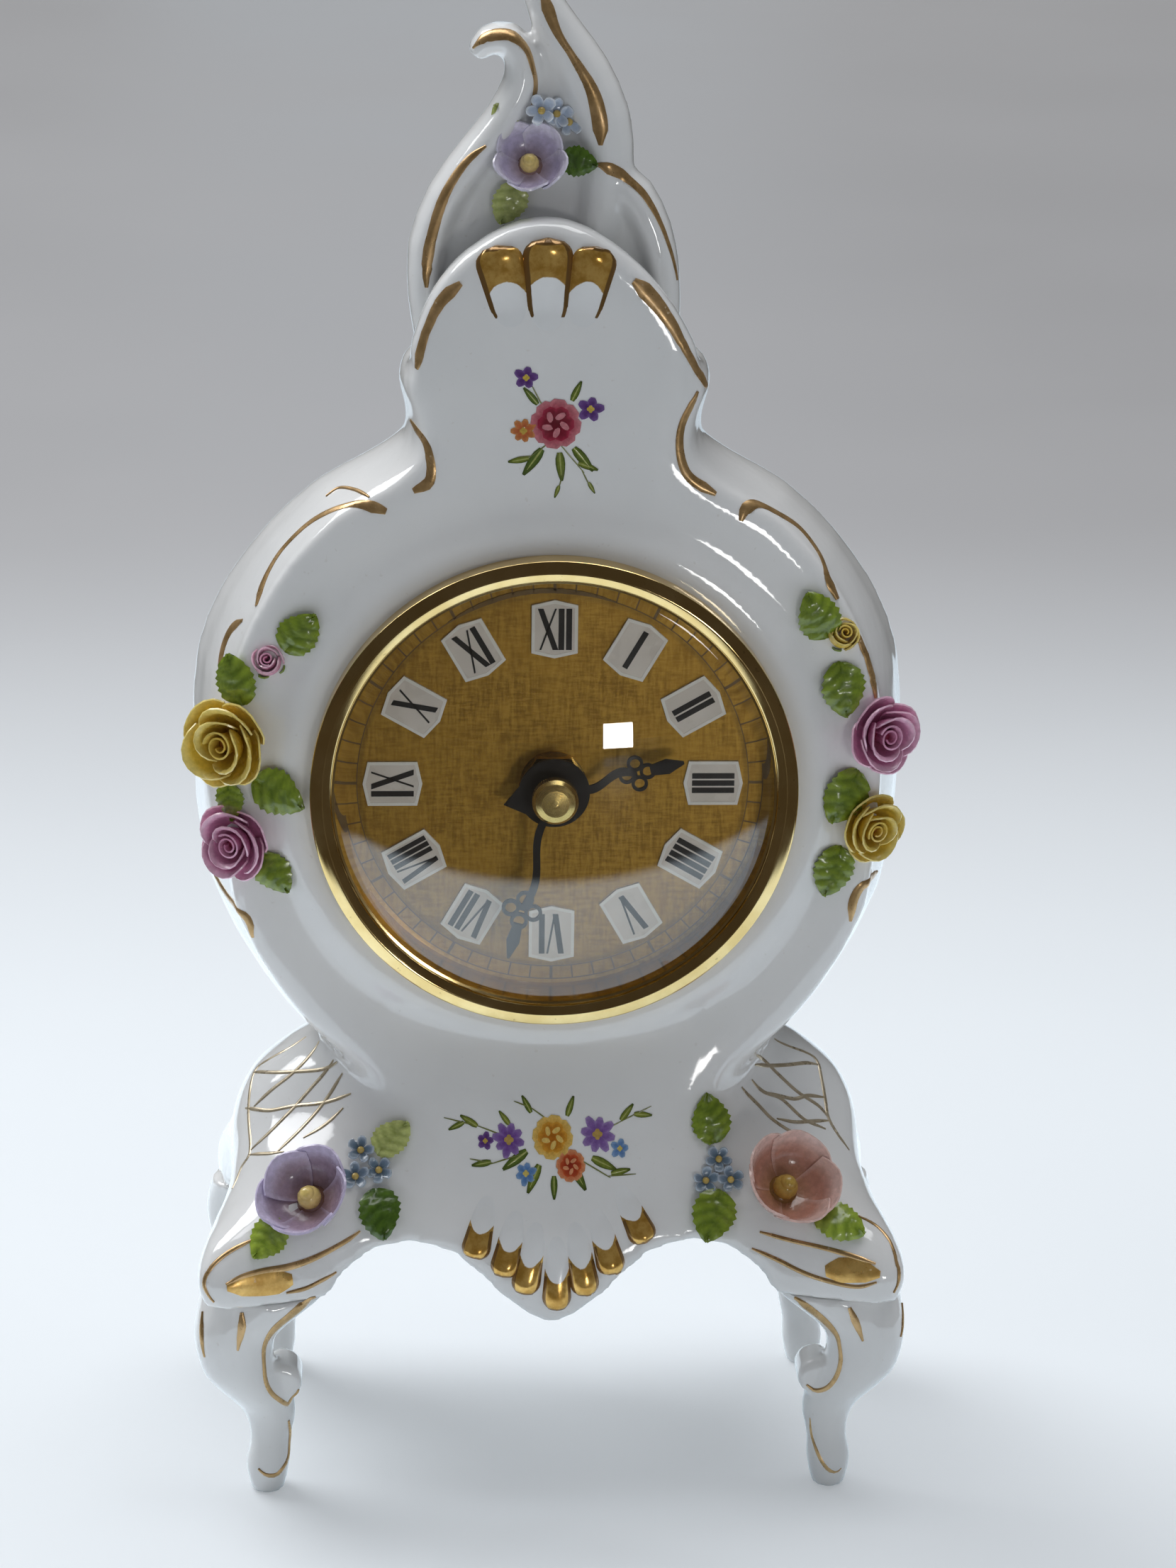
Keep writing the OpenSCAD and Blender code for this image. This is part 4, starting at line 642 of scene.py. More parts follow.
SHIELD_FLUTES = [
    ((-9.9, -12.6, 222.0), (-7.6, -12.6, 211.4), (4.5, 2.9), (2.1, 0.1), 0.5, (False, True)),
    ((5.8, -12.6, 222.2), (3.7, -12.6, 211.4), (4.2, 2.7), (2.0, 0.1), 0.5, (True, False)),
    ((-1.9, -12.6, 223.1), (-1.8, -12.6, 210.8), (4.7, 3.1), (2.6, 0.12), 0.46),
]
APRON_FLUTES = [
    (tip, tail, (2.9, 1.7), (1.9, 0.08), 0.46, (True, True), 0.5)
    for tip, tail in (
        ((-13.5, -28.5, 49.1), (-11.2, -24.6, 57.6)), ((-8.4, -29.6, 46.0), (-6.2, -26.2, 55.4)),
        ((-4.7, -30.2, 42.8), (-2.6, -27.5, 53.8)), ((5.8, -30.2, 42.4), (3.9, -27.5, 53.8)),
        ((10.4, -29.5, 46.2), (7.6, -26.2, 55.6)), ((15.9, -27.6, 51.4), (12.0, -24.4, 59.2)),
        ((0.8, -30.4, 39.8), (0.8, -28.4, 51.4)),
    )
]
shell_finish = shell_gilding()
for name, flutes in (("shield_shell", SHIELD_FLUTES), ("apron_shell", APRON_FLUTES)):
    bm = tinted_clay()
    for facts in flutes:
        flute(bm, *facts)
    close_up(bm, 0.1)
    piece(name + "_gilded", bm, shell_finish, [name])


# Flowers
def bowl_petal(bm, place, facing, spread, profile, hues,
               drop=0.3, tuck=0.06, ruffle=0.02, across=10, along=8, pale_from=0.74):
    """One petal, a part of a flared bowl round the flower's axis; the profile is (radius, height)."""
    spans = 24
    root, body, rim = (Vector(hue) for hue in hues)
    key = bm.verts.layers.float_color[TINT]
    line = spline([(r, z, 0) for r, z in profile], spans + 1)
    size = line[-1].x
    phase = SEED.uniform(0, TAU)
    for v, u, t in sheet(bm, across, along):
        reach = t * (1 - drop * abs(u) ** 2.4)
        spot = reach * spans
        r, z, _ = line[int(spot)].lerp(line[min(spans, int(spot) + 1)], spot - int(spot))
        wave = ruffle * size * math.sin(phase + u * 5) * reach**2
        r += size * tuck * u * (0.3 + reach) + wave
        a = math.radians(facing + spread * u)
        v.co = place @ Vector((r * math.sin(a), r * math.cos(a), z + wave * 0.6))
        tip_edge = min(1.0, max(0.0, (t - pale_from) / 0.22))
        edge = max(tip_edge, max(0.0, (abs(u) - 0.8) / 0.2) * reach)
        v[key] = (*root.lerp(body, min(1.0, reach * 1.9)).lerp(rim, edge), 1.0)


def whorl(bm, place, r, count, spread, profile, hues, first=None, **more):
    """Petals set round a flower, no two quite alike; the profile is in shares of the radius r."""
    if first is None:
        first = SEED.uniform(0, 360 / count)
    for i in range(count):
        grow = SEED.uniform(0.95, 1.05)
        facing = first + 360 * i / count + SEED.uniform(-6, 6)
        wide = spread * SEED.uniform(0.94, 1.06)
        grown = [(r * a * grow, r * b * grow) for a, b in profile]
        bowl_petal(bm, place, facing, wide, grown, hues, **more)


def rolled_heart(bm, place, r, turns, radius, height, hues):
    """The rolled strip in a rose's middle."""
    deep, body, rim = (Vector(hue) for hue in hues)
    key = bm.verts.layers.float_color[TINT]
    across, along = int(20 * turns), 5
    start = SEED.uniform(0, TAU)
    for i, row in enumerate(grid(bm, across, along)):
        t = i / along
        for k, v in enumerate(row):
            s = k / across
            a = start + TAU * turns * s
            out = r * (radius[0] + (radius[1] - radius[0]) * s) * (0.8 + 0.35 * t * t)
            up = r * (0.08 + t * (height[0] + (height[1] - height[0]) * s))
            v.co = place @ Vector((out * math.cos(a), out * math.sin(a), up))
            v[key] = (*deep.lerp(body, t * 0.7 + 0.3 * s).lerp(rim, max(0.0, t - 0.75) * 2.4 * s), 1.0)


def bead(bm, place, at, size, colour):
    key = bm.verts.layers.float_color[TINT]
    seat = place @ Matrix.Translation(at)
    for v in bmesh.ops.create_icosphere(bm, subdivisions=2, radius=size, matrix=seat)["verts"]:
        v[key] = (*colour, 1.0)


def rose(bm, place, r, hues, heart):
    """A rose of nine petals, its outer rims rolled back."""
    inner = (heart, *hues[1:])
    whorl(bm, place, r, 4, 56, [(0.2, -0.02), (0.6, 0.0), (0.88, 0.16), (1.0, 0.36), (1.05, 0.38)],
          hues, drop=0.36)
    whorl(bm, place, r, 3, 70, [(0.18, 0.0), (0.5, 0.1), (0.70, 0.36), (0.79, 0.6), (0.90, 0.66)],
          hues, drop=0.34, tuck=0.09)
    whorl(bm, place, r, 2, 98, [(0.14, 0.02), (0.34, 0.14), (0.46, 0.42), (0.52, 0.7), (0.60, 0.76)],
          inner, drop=0.4, tuck=0.12)
    rolled_heart(bm, place, r, 1.9, (0.07, 0.30), (0.5, 0.6), inner)
    bead(bm, place, (0, 0, 0.2 * r), 0.16 * r, heart)


def cup_flower(bm, place, r, hues, drop=0.12, knob=(0.86, 0.66, 0.22)):
    """An open bowl of five petals with a knob in the middle."""
    profile = [(0.0, 0.15), (0.4, 0.18), (0.72, 0.36), (0.90, 0.66), (0.96, 0.84), (1.03, 0.90)]
    whorl(bm, place, r, 5, 45, profile, hues, drop=drop, ruffle=0.014, tuck=0.022, pale_from=0.66)
    # A ball darker than the petals' roots fills the bowl's bottom: painted shade inside the cup.
    bead(bm, place, (0, 0, -0.06 * r), 0.38 * r, Vector(hues[0]) * 0.8)
    bead(bm, place, (0, 0, 0.34 * r), 0.22 * r, knob)
    bead(bm, place, (0, 0.02 * r, 0.5 * r), 0.13 * r, knob)


def small_flower(bm, place, r, hues):
    whorl(bm, place, r, 5, 36, [(0.1, 0.05), (0.45, 0.1), (0.8, 0.24), (1.0, 0.42)], hues,
          drop=0.5, across=5, along=5)
    bead(bm, place, (0, 0, 0.16 * r), 0.14 * r, (0.62, 0.44, 0.12))


def bud(bm, place, r, hues, heart):
    """A half-open bud that looks up and out, held by small green sepals."""
    up = place @ Matrix.Rotation(math.radians(-32), 4, "X") @ Matrix.Translation((0, 0.1 * r, -0.5 * r))
    inner = (heart, *hues[1:])
    green = ((0.05, 0.11, 0.01), (0.12, 0.24, 0.02), (0.24, 0.36, 0.05))
    whorl(bm, up, r, 3, 76, [(0.2, 0.0), (0.78, 0.3), (1.0, 0.8), (0.92, 1.25), (1.02, 1.42)],
          hues, drop=0.3, tuck=0.1)
    whorl(bm, up, r, 2, 92, [(0.15, 0.1), (0.5, 0.5), (0.66, 1.1), (0.62, 1.5), (0.68, 1.6)],
          inner, drop=0.3, tuck=0.1)
    rolled_heart(bm, up, r, 1.6, (0.08, 0.4), (1.4, 1.5), inner)
    whorl(bm, up, r, 4, 32, [(0.12, -0.3), (0.6, -0.16), (1.05, 0.25), (1.25, 0.6)], green,
          first=20, drop=0.75, across=6, along=5)


def leaf(bm, place, length, turn, dark, light):
    """Serrated leaf along +y with a sunk midrib, raised between its side veins."""
    along, across, veins, slant = 16, 8, 4.5, 0.8
    seat = place @ Matrix.Rotation(math.radians(turn), 4, "Z")
    key = bm.verts.layers.float_color[TINT]
    bend = SEED.uniform(-0.12, 0.12)
    lift = SEED.uniform(0.16, 0.26)
    for i, row in enumerate(grid(bm, across, along)):
        t = i / along
        half = 0.39 * length * math.sin(math.pi * min(1.0, 0.06 + 0.94 * t ** 0.85)) ** 0.75
        tooth = 1.0 + 0.07 * (1 if i % 2 else -1) * (0.15 < t < 0.95)
        for k, v in enumerate(row):
            u = 2 * k / across - 1
            veined = math.sin(TAU * (t * veins - abs(u) * slant))
            wide = half * u * (tooth if abs(u) > 0.9 else 1.0)
            vein = 0.018 * length * veined * (0.2 < abs(u) < 0.95)
            rib = -0.035 * length * math.exp(-((u / 0.18) ** 2))
            wave = 0.05 * length * abs(u) * math.sin(TAU * t * 1.1 + (0 if u > 0 else 1.4))
            arch = lift * length * math.sin(math.pi * t * 0.8) * (1 - 0.4 * u * u)
            v.co = seat @ Vector((
                wide + bend * length * t * t, length * (t - 0.1), 0.03 * length + arch + vein + rib + wave
            ))
            # Each leaf is painted lighter on the raised bands between its side veins and darker in the hollows:
            # painted highlight and painted shade. It also turns paler towards its edges.
            pale = min(1.0, 0.25 + 0.5 * (0.5 + 0.5 * veined) + 0.35 * abs(u))
            v[key] = (*Vector(dark).lerp(Vector(light), pale), 1.0)


def planted(x, y, z, turn, tilt):
    """Where a flower sits on the case, in mm, turned to the side and tilted up."""
    return (
        Matrix.Translation(Vector((x, y, z)) * MM)
        @ Matrix.Rotation(math.radians(turn), 4, "Z")
        @ Matrix.Rotation(math.radians(90 - tilt), 4, "X")
    )


flower_clay = painted_clay("flower_clay")
leaf_clay = painted_clay("leaf_clay", 0.0011, 0.2, 0.00004)


def flower_piece(name, wall, makers, finish=flower_clay):
    bm = tinted_clay()
    for make, *facts in makers:
        make(bm, *facts)
    close_up(bm, wall)
    piece(name + "_blown", bm, finish, [name])


# Petal colours from root to rim, leaf colours from dark to light
YELLOW = ((0.60, 0.32, 0.02), (0.86, 0.61, 0.08), (0.92, 0.75, 0.24))
PINK = ((0.46, 0.08, 0.20), (0.78, 0.31, 0.49), (0.88, 0.55, 0.67))
ROSE_PINK = ((0.52, 0.11, 0.27), (0.78, 0.33, 0.54), (0.88, 0.54, 0.69))
# The brown roots of LILAC, PALE_LILAC and SALMON are painted shade inside the cup flowers' bowls.
LILAC = ((0.26, 0.12, 0.06), (0.40, 0.30, 0.40), (0.68, 0.61, 0.82))
PALE_LILAC = ((0.40, 0.25, 0.20), (0.60, 0.54, 0.76), (0.80, 0.76, 0.90))
SALMON = ((0.30, 0.16, 0.04), (0.58, 0.28, 0.21), (0.86, 0.60, 0.54))
BLUE = ((0.42, 0.50, 0.68), (0.54, 0.64, 0.80), (0.78, 0.83, 0.90))
SLATE = ((0.06, 0.09, 0.12), (0.17, 0.25, 0.34), (0.50, 0.58, 0.68))
GREENS = {
    "dark": ((0.022, 0.055, 0.006), (0.10, 0.19, 0.02)),
    "mid": ((0.045, 0.095, 0.008), (0.27, 0.37, 0.035)),
    "bright": ((0.09, 0.17, 0.01), (0.38, 0.50, 0.06)),
    "pale": ((0.22, 0.28, 0.05), (0.62, 0.68, 0.24)),
}

# Name, slot, place as planted() takes it, radius in mm, petals and heart
ROSES = [
    ("left_yellow_rose", "petal_yellow", (-55.87, -11.89, 138.13, -30, 4), 7.8, YELLOW, (0.36, 0.12, 0.01)),
    ("left_pink_rose", "petal_pink", (-55.04, -11.96, 120.02, -28, 0), 6.6, ROSE_PINK, (0.36, 0.04, 0.10)),
    ("left_pink_bud", "petal_pink", (-49.41, -12.25, 152.34, -10, 0), 2.5, PINK, (0.36, 0.05, 0.14)),
    ("right_pink_rose", "petal_pink", (56.83, -11.79, 139.28, 26, 4), 6.9, ROSE_PINK, (0.36, 0.04, 0.10)),
    ("right_yellow_rose", "petal_yellow", (55.36, -11.93, 122.26, 28, -3), 6.0, YELLOW, (0.36, 0.12, 0.01)),
    ("right_yellow_bud", "petal_yellow", (49.92, -12.07, 157.0, 12, 0), 2.5, YELLOW, (0.40, 0.14, 0.01)),
]
for name, slot, seat, r, hues, heart in ROSES:
    make, wall = (bud, 0.25) if name.endswith("bud") else (rose, 0.32)
    flower_piece(name, wall, [(make, planted(*seat), r * MM, hues, heart)])

# The same with the petals' wall, then where it differs how far the petals' corners drop, and the knob
CUP_FLOWERS = [
    ("base_left_cup_flower", "petal_lilac", 0.4, (-42.1, -25.2, 56.5, -26, 42), 8.17, LILAC),
    ("base_right_cup_flower", "petal_salmon", 0.4, (40.6, -24.6, 57.4, 24, 44), 8.7, SALMON, 0.12,
     (0.52, 0.34, 0.07)),
    ("crest_cup_flower", "petal_lilac", 0.35, (-4.7, -1.8, 236.7, -4, 32), 6.1, PALE_LILAC, 0.3),
]
for name, slot, wall, seat, r, *look in CUP_FLOWERS:
    flower_piece(name, wall, [(cup_flower, planted(*seat), r * MM, *look)])

# Each flower of a cluster as (x, y, z) in its own radii and the degrees that it leans
CLUSTERS = [
    ("crest_small_flowers", (-1.17, -1.83, 245.09, 0, 15), 2.6, BLUE,
     [(-0.62, 0.42, 0.5, -10), (0.34, 0.3, -0.2, 10), (1.15, -0.2, -0.4, 10)]),
    ("base_left_small_flowers", (-33.17, -20.71, 61.52, -8, 38), 2.6, SLATE,
     [(-0.38, 1.06, 0.05, 0), (0.97, -0.25, -0.08, 0), (-0.59, -0.8, 0.03, 0)]),
    ("base_right_small_flowers", (29.82, -21.83, 60.07, 5, 33), 2.47, SLATE,
     [(0.1, 1.02, -0.02, 0), (-0.95, -0.49, -0.07, 0), (0.85, -0.53, 0.09, 0)]),
]
for name, seat, r, hues, spots in CLUSTERS:
    makers = []
    for *spot, lean in spots:
        at = planted(*seat) @ Matrix.Translation(Vector(spot) * r * MM)
        makers.append((small_flower, at @ Matrix.Rotation(math.radians(lean), 4, "Y"), r * MM, hues))
    flower_piece(name, 0.3, makers)

# Leaves: place as planted() takes it, the leaf's own turn, its share of a whole leaf, its green
WHOLE_LEAF = 9.6
LEAVES = {
    "crest_leaves": [
        (-7.7, -1.5, 243.3, -12, 0, 34, 0.56, "pale"), (1.0, -2.8, 238.6, 0, 0, -100, 0.64, "dark"),
        (-7.04, -0.71, 233.36, 0, 0, 160, 0.75, "pale"),
    ],
    "left_leaves": [
        (-46.08, -12.43, 155.6, -3, 0, -35, 0.9, "mid"), (-54.08, -11.89, 146.0, -20, 4, 10, 0.95, "mid"),
        (-51.2, -12.78, 131.28, -14, 0, -110, 1.05, "mid"), (-56.32, -11.54, 130.0, -30, 0, -170, 0.7, "mid"),
        (-50.56, -12.25, 117.2, -10, -2, -150, 0.85, "mid"),
    ],
    "right_leaves": [
        (47.04, -12.25, 158.16, 3, 0, 30, 0.95, "mid"), (49.6, -12.25, 151.76, 6, 0, -170, 1.0, "mid"),
        (52.8, -12.07, 131.92, 12, 0, 150, 1.05, "mid"), (50.56, -12.25, 117.84, 8, -1, 160, 0.95, "mid"),
    ],
    "base_left_leaves": [
        (-30.4, -19.35, 63.76, -10, 33, -35, 0.8, "pale"), (-31.36, -23.96, 57.36, -2, 33, -160, 0.95, "dark"),
        (-48.2, -29.0, 53.8, -5, 38, 140, 0.85, "bright"),
    ],
    "base_right_leaves": [
        (29.12, -18.46, 65.36, 10, 31, 10, 0.95, "mid"), (29.76, -24.14, 56.72, -2, 31, 165, 1.0, "mid"),
        (47.6, -28.2, 54.6, 10, 46, -130, 0.95, "bright"),
    ],
}
for name, rows in LEAVES.items():
    makers = [
        (leaf, planted(*seat), WHOLE_LEAF * size * MM, turn, *GREENS[green])
        for *seat, turn, size, green in rows
    ]
    flower_piece(name, 0.45, makers, leaf_clay)


# Painted sprays
def on_front(x, z):
    """Where a point seen from the front meets the clay, in metres, and the surface's direction."""
    return clay.ray_cast(Vector((x * MM, -0.08, z * MM)), Vector((0, 1, 0)))[:2]


def daub(bm, x, z, angle, length, width, colour, level=0, taper=0.0, edge=None):
    """A touch of enamel lying on the glaze, its root at (x, z) in mm, the angle from straight up."""
    base, layer, crown = 0.03, 0.022, 0.02
    a = math.radians(angle)
    key = bm.verts.layers.float_color[TINT]
    for v, u, t in sheet(bm, 4, 5):
        half = width / 2 * math.sin(math.pi * (0.08 + 0.84 * t)) ** 0.6 * (1 - taper * t)
        r, s = length * t, half * u
        seat, up = on_front(x + math.sin(a) * r + math.cos(a) * s, z + math.cos(a) * r - math.sin(a) * s)
        v.co = seat + up * ((base + layer * level + crown * (1 - u * u)) * MM)
        v[key] = (*Vector(colour).lerp(Vector(edge or colour), max(abs(u) ** 2, t ** 3)), 1.0)


def painted_rose(bm, x, z, r, deep, mid, pale):
    for i in range(8):
        daub(bm, x, z, 45 * i + 8, r, r * 0.95, mid, 1, edge=pale)
    for i in range(6):
        daub(bm, x, z, 60 * i + 30, r * 0.72, r * 0.7, deep, 2, edge=mid)
    for i in range(5):
        a = math.radians(72 * i)
        daub(bm, x + 0.2 * r * math.sin(a), z + 0.2 * r * math.cos(a), 72 * i + 60, r * 0.42, r * 0.24, pale, 3)
    daub(bm, x - 0.05 * r, z - 0.18 * r, 10, r * 0.36, r * 0.34, deep, 4)


def painted_bloom(bm, x, z, r, count, body, edge, heart):
    for i in range(count):
        long, wide = r * SEED.uniform(0.85, 1.05), r * 2.6 / count + 0.2 * r
        daub(bm, x, z, 360 * i / count + 12, long, wide, body, 1, edge=edge)
    for i in range(4):
        daub(bm, x, z, 90 * i, r * 0.28, r * 0.28, heart, 3)


def painted_leaf(bm, x, z, angle, length, tone):
    length *= 1.25
    green = Vector((0.12, 0.19, 0.03)).lerp(Vector((0.34, 0.38, 0.06)), tone)
    daub(bm, x, z, angle, length, length * 0.42, green, 0, taper=0.5, edge=(0.07, 0.10, 0.02))
    daub(bm, x, z, angle, length * 0.8, length * 0.07, (0.42, 0.45, 0.14), 1, taper=0.6)


def painted_stem(bm, *spots):
    for (x0, z0), (x1, z1) in zip(spots, spots[1:]):
        angle, length = math.degrees(math.atan2(x1 - x0, z1 - z0)), math.hypot(x1 - x0, z1 - z0) * 1.1
        daub(bm, x0, z0, angle, length, 0.22, (0.22, 0.24, 0.08))


paint = enamel_paint()


def spray(name, stems, leaves, blooms, roses):
    """One spray painted from the back to the front, every measure in mm on the clock's front."""
    bm = tinted_clay()
    for make, rows in (
        (painted_stem, stems), (painted_leaf, leaves), (painted_bloom, blooms), (painted_rose, roses)
    ):
        for facts in rows:
            make(bm, *facts)
    close_up(bm, 0.05)
    piece(name, bm, paint)


VIOLET = ((0.10, 0.03, 0.18), (0.22, 0.12, 0.36))
spray(
    "painted_spray_upper",
    [((0, 192), (4.2, 187), (5.4, 184.6)), ((-1, 192), (-4.4, 189.4), (-6.6, 189.2)),
     ((-2, 197), (-4.4, 201.6), (-5.6, 204)), ((0, 190), (1, 186.4), (0.4, 184))],
    [(2.8, 190.8, 140, 4.2, 0.2), (-2.6, 190.6, 215, 4.4, 0.0), (0.4, 190.0, 175, 4.0, 0.5),
     (3.6, 188.2, 110, 2.9, 0.7), (-4.8, 189.0, 260, 2.9, 0.6), (-3.4, 198.4, 320, 3.0, 0.1),
     (2.4, 199.0, 25, 3.0, 0.3), (5.4, 184.8, 150, 1.8, 0.8), (0.4, 184.2, 200, 1.8, 0.9)],
    [(-5.4, 203.0, 2.1, 5, *VIOLET, (0.7, 0.5, 0.08)),
     (5.6, 197.6, 2.3, 5, *VIOLET, (0.7, 0.5, 0.08)),
     (-5.8, 193.8, 2.3, 7, (0.55, 0.12, 0.04), (0.66, 0.30, 0.10), (0.62, 0.42, 0.08))],
    [(-0.3, 195.0, 4.3, (0.16, 0.008, 0.02), (0.42, 0.03, 0.07), (0.66, 0.24, 0.27))],
)
spray(
    "painted_spray_lower",
    [((-6, 66), (-13, 68.4), (-18.6, 69.6)), ((6, 66), (12.4, 69), (17.4, 71.2)),
     ((-5, 64), (-10.4, 62.4), (-14.2, 63)), ((5, 63), (10, 60.2), (14.6, 60.4)),
     ((0, 69), (-3.6, 71.4), (-6.4, 72.4))],
    [(-4.4, 64.4, 235, 4.2, 0.1), (-2.2, 62.2, 205, 4.0, 0.5), (3.4, 62.6, 150, 4.2, 0.2),
     (7.2, 63.2, 115, 3.8, 0.6), (-13.2, 68.4, 300, 2.8, 0.8), (-15.6, 69.0, 245, 2.4, 0.4),
     (12.4, 69.2, 40, 2.8, 0.7), (14.8, 70.2, 95, 2.6, 0.9), (-10.8, 62.6, 260, 2.8, 0.3),
     (10.6, 60.6, 80, 2.8, 0.5), (-3.6, 70.6, 330, 2.6, 0.2), (2.8, 70.0, 20, 2.8, 0.6),
     (0.4, 60.4, 180, 3.0, 0.1), (-7.4, 68.6, 320, 2.4, 0.9)],
    [(-7.6, 66.2, 3.0, 8, (0.16, 0.06, 0.30), (0.34, 0.22, 0.50), (0.55, 0.36, 0.10)),
     (8.2, 67.0, 3.2, 8, (0.20, 0.09, 0.34), (0.38, 0.26, 0.54), (0.55, 0.36, 0.10)),
     (-11.8, 66.0, 1.6, 5, *VIOLET, (0.6, 0.42, 0.1)),
     (-4.6, 60.8, 2.0, 6, (0.08, 0.20, 0.48), (0.26, 0.42, 0.66), (0.7, 0.56, 0.15)),
     (12.2, 64.6, 1.7, 5, (0.10, 0.22, 0.50), (0.30, 0.46, 0.68), (0.7, 0.56, 0.15))],
    [(3.4, 62.0, 2.6, (0.34, 0.03, 0.01), (0.60, 0.10, 0.03), (0.78, 0.34, 0.16)),
     (0.2, 66.6, 3.6, (0.50, 0.16, 0.01), (0.74, 0.36, 0.04), (0.84, 0.58, 0.16))],
)


# Dial, glass and bezel
def turned(bm, profile, steps=128):
    """A lathe turn round the dial's axis of (radius, height in front of the dial's face) in mm."""
    verts = [bm.verts.new((r * MM, (DIAL_Y - h) * MM, DIAL_Z * MM)) for r, h in profile]
    edges = [bm.edges.new(pair) for pair in zip(verts, verts[1:])]
    if profile[0] != profile[-1] and profile[0][0] > 0 and profile[-1][0] > 0:
        edges.append(bm.edges.new((verts[-1], verts[0])))
    bmesh.ops.spin(
        bm, geom=verts + edges, cent=DIAL_AXIS, axis=(0, 1, 0), angle=TAU, steps=steps, use_merge=True
    )
    bmesh.ops.remove_doubles(bm, verts=bm.verts, dist=1e-6)
    bmesh.ops.recalc_face_normals(bm, faces=bm.faces)


brass = turned_brass("polished_brass", (0.92, 0.72, 0.36), (0.78, 0.57, 0.24), 0.05, 0.12, ridge=0.000003)
wall_outside = [(41.6, 4.6), (42.5, 4.6), (42.5, 8.3)] + arc(42.05, 8.3, 0.45, 0, 75, 5)
sloping_ring = [(41.6, 8.92), (41.0, 9.10), (40.6, 9.22), (40.42, 9.26), (40.32, 9.25), (40.22, 9.22),
                (39.8, 9.07), (39.2, 8.86)]
land_and_back = [(39.02, 8.78), (38.92, 8.7), (38.86, 8.6), (38.7, 8.0), (38.3, 7.9), (38.3, 7.7),
                 (39.1, 7.7), (39.1, 5.8), (41.6, 5.8)]
bm = bmesh.new()
turned(bm, wall_outside + sloping_ring + land_and_back, 160)
piece("bezel_polished", bm, brass, ["bezel"])

sphere_r, centre_h, wall, edge_r, seat_h, rings = 89.0, -72.8, 1.2, 39.0, 6.6, 28
radii = [edge_r * i / rings for i in range(rings + 1)]
dome = [(r, centre_h + math.sqrt(sphere_r**2 - r * r)) for r in radii]
dome += [(r, max(seat_h, centre_h + math.sqrt((sphere_r - wall) ** 2 - r * r))) for r in reversed(radii)]
bm = bmesh.new()
turned(bm, dome)
piece("glass_dome", bm, clear_glass(), ["glass"])

NUMERALS = ["XII", "I", "II", "III", "IIII", "V", "VI", "VII", "VIII", "IX", "X", "XI"]
PLAQUE_R, PLAQUE_W, PLAQUE_L, PEAK = 28.0, 8.0, 10.4, 0.9
PLAQUE_FOOT, PLAQUE_TOP, INK_TOP = -0.02, 0.49, 0.56


def dial_spot(hour, u, v, h):
    """A point on the dial in mm: u clockwise and v outward from the hour's plaque, h over the face."""
    a = math.radians(30 * hour)
    r = PLAQUE_R + v
    x, z = math.sin(a) * r + math.cos(a) * u, DIAL_Z + math.cos(a) * r - math.sin(a) * u
    return Vector((x * MM, (DIAL_Y - h) * MM, z * MM))


def drawn_out(bm, faces, height):
    """Flat faces drawn out of the dial into plates of that height in mm."""
    top = bmesh.ops.extrude_face_region(bm, geom=faces)["geom"]
    moved = [g for g in top if isinstance(g, bmesh.types.BMVert)]
    bmesh.ops.translate(bm, verts=moved, vec=(0, -height * MM, 0))


def raised(bm, height):
    bmesh.ops.recalc_face_normals(bm, faces=bm.faces)
    drawn_out(bm, bm.faces[:], height)
    bmesh.ops.recalc_face_normals(bm, faces=bm.faces)


def bar(bm, hour, u0, v0, u1, v1, wide):
    """A printed bar from one point to another, cut square to the plaque's ends."""
    corners = [(u0 - wide / 2, v0), (u0 + wide / 2, v0), (u1 + wide / 2, v1), (u1 - wide / 2, v1)]
    low = [bm.verts.new(dial_spot(hour, u, v, PLAQUE_TOP)) for u, v in corners]
    drawn_out(bm, [bm.faces.new(low)], INK_TOP - PLAQUE_TOP)


def numeral(bm, hour, text):
    """A numeral in heavy and light bars, narrowed where it would leave its plaque."""
    heavy, light, gap, tall, room = 1.0, 0.34, 0.32, 3.7, 6.1
    widths = {"I": heavy, "V": 3.1, "X": 3.3}
    total = sum(widths[c] for c in text) + gap * (len(text) - 1)
    squeeze = min(1.0, room / total)
    u = -total * squeeze / 2
    for c in text:
        w = widths[c] * squeeze
        a, b, middle = u + heavy * squeeze / 2, u + w - light * squeeze / 2, u + w / 2
        if c == "I":
            bar(bm, hour, middle, -tall, middle, tall, heavy * squeeze)
        elif c == "V":
            bar(bm, hour, a, tall, middle, -tall, heavy * squeeze)
            bar(bm, hour, b, tall, middle + 0.12, -tall, light * squeeze)
        else:
            bar(bm, hour, a, tall, b, -tall, heavy * squeeze)
            bar(bm, hour, b, tall, a, -tall, light * squeeze)
        u += w + gap * squeeze


ink = moulded("printed_ink", (0.006, 0.006, 0.008), (0.016, 0.016, 0.02), 0.3, 0.45, 0.0003, 0.000006)
bm = bmesh.new()
for hour, text in enumerate(NUMERALS):
    numeral(bm, hour, text)
bmesh.ops.recalc_face_normals(bm, faces=bm.faces)
piece("numerals_printed", bm, ink, smooth=False)


def plaque(bm, hour, h, margin=0.0):
    """A plaque's corners at a height over the face: straight sides and ends that rise to a low peak,
    all of it drawn in by a margin."""
    rise = PEAK / (PLAQUE_W / 2)
    x, y = PLAQUE_W / 2 - margin, PLAQUE_L / 2 - margin * math.hypot(1, rise)
    side = y - rise * x
    corners = [(x, -side), (x, side), (0, y), (-x, side), (-x, -side), (0, -y)]
    return [bm.verts.new(dial_spot(hour, u, v, h)) for u, v in corners]


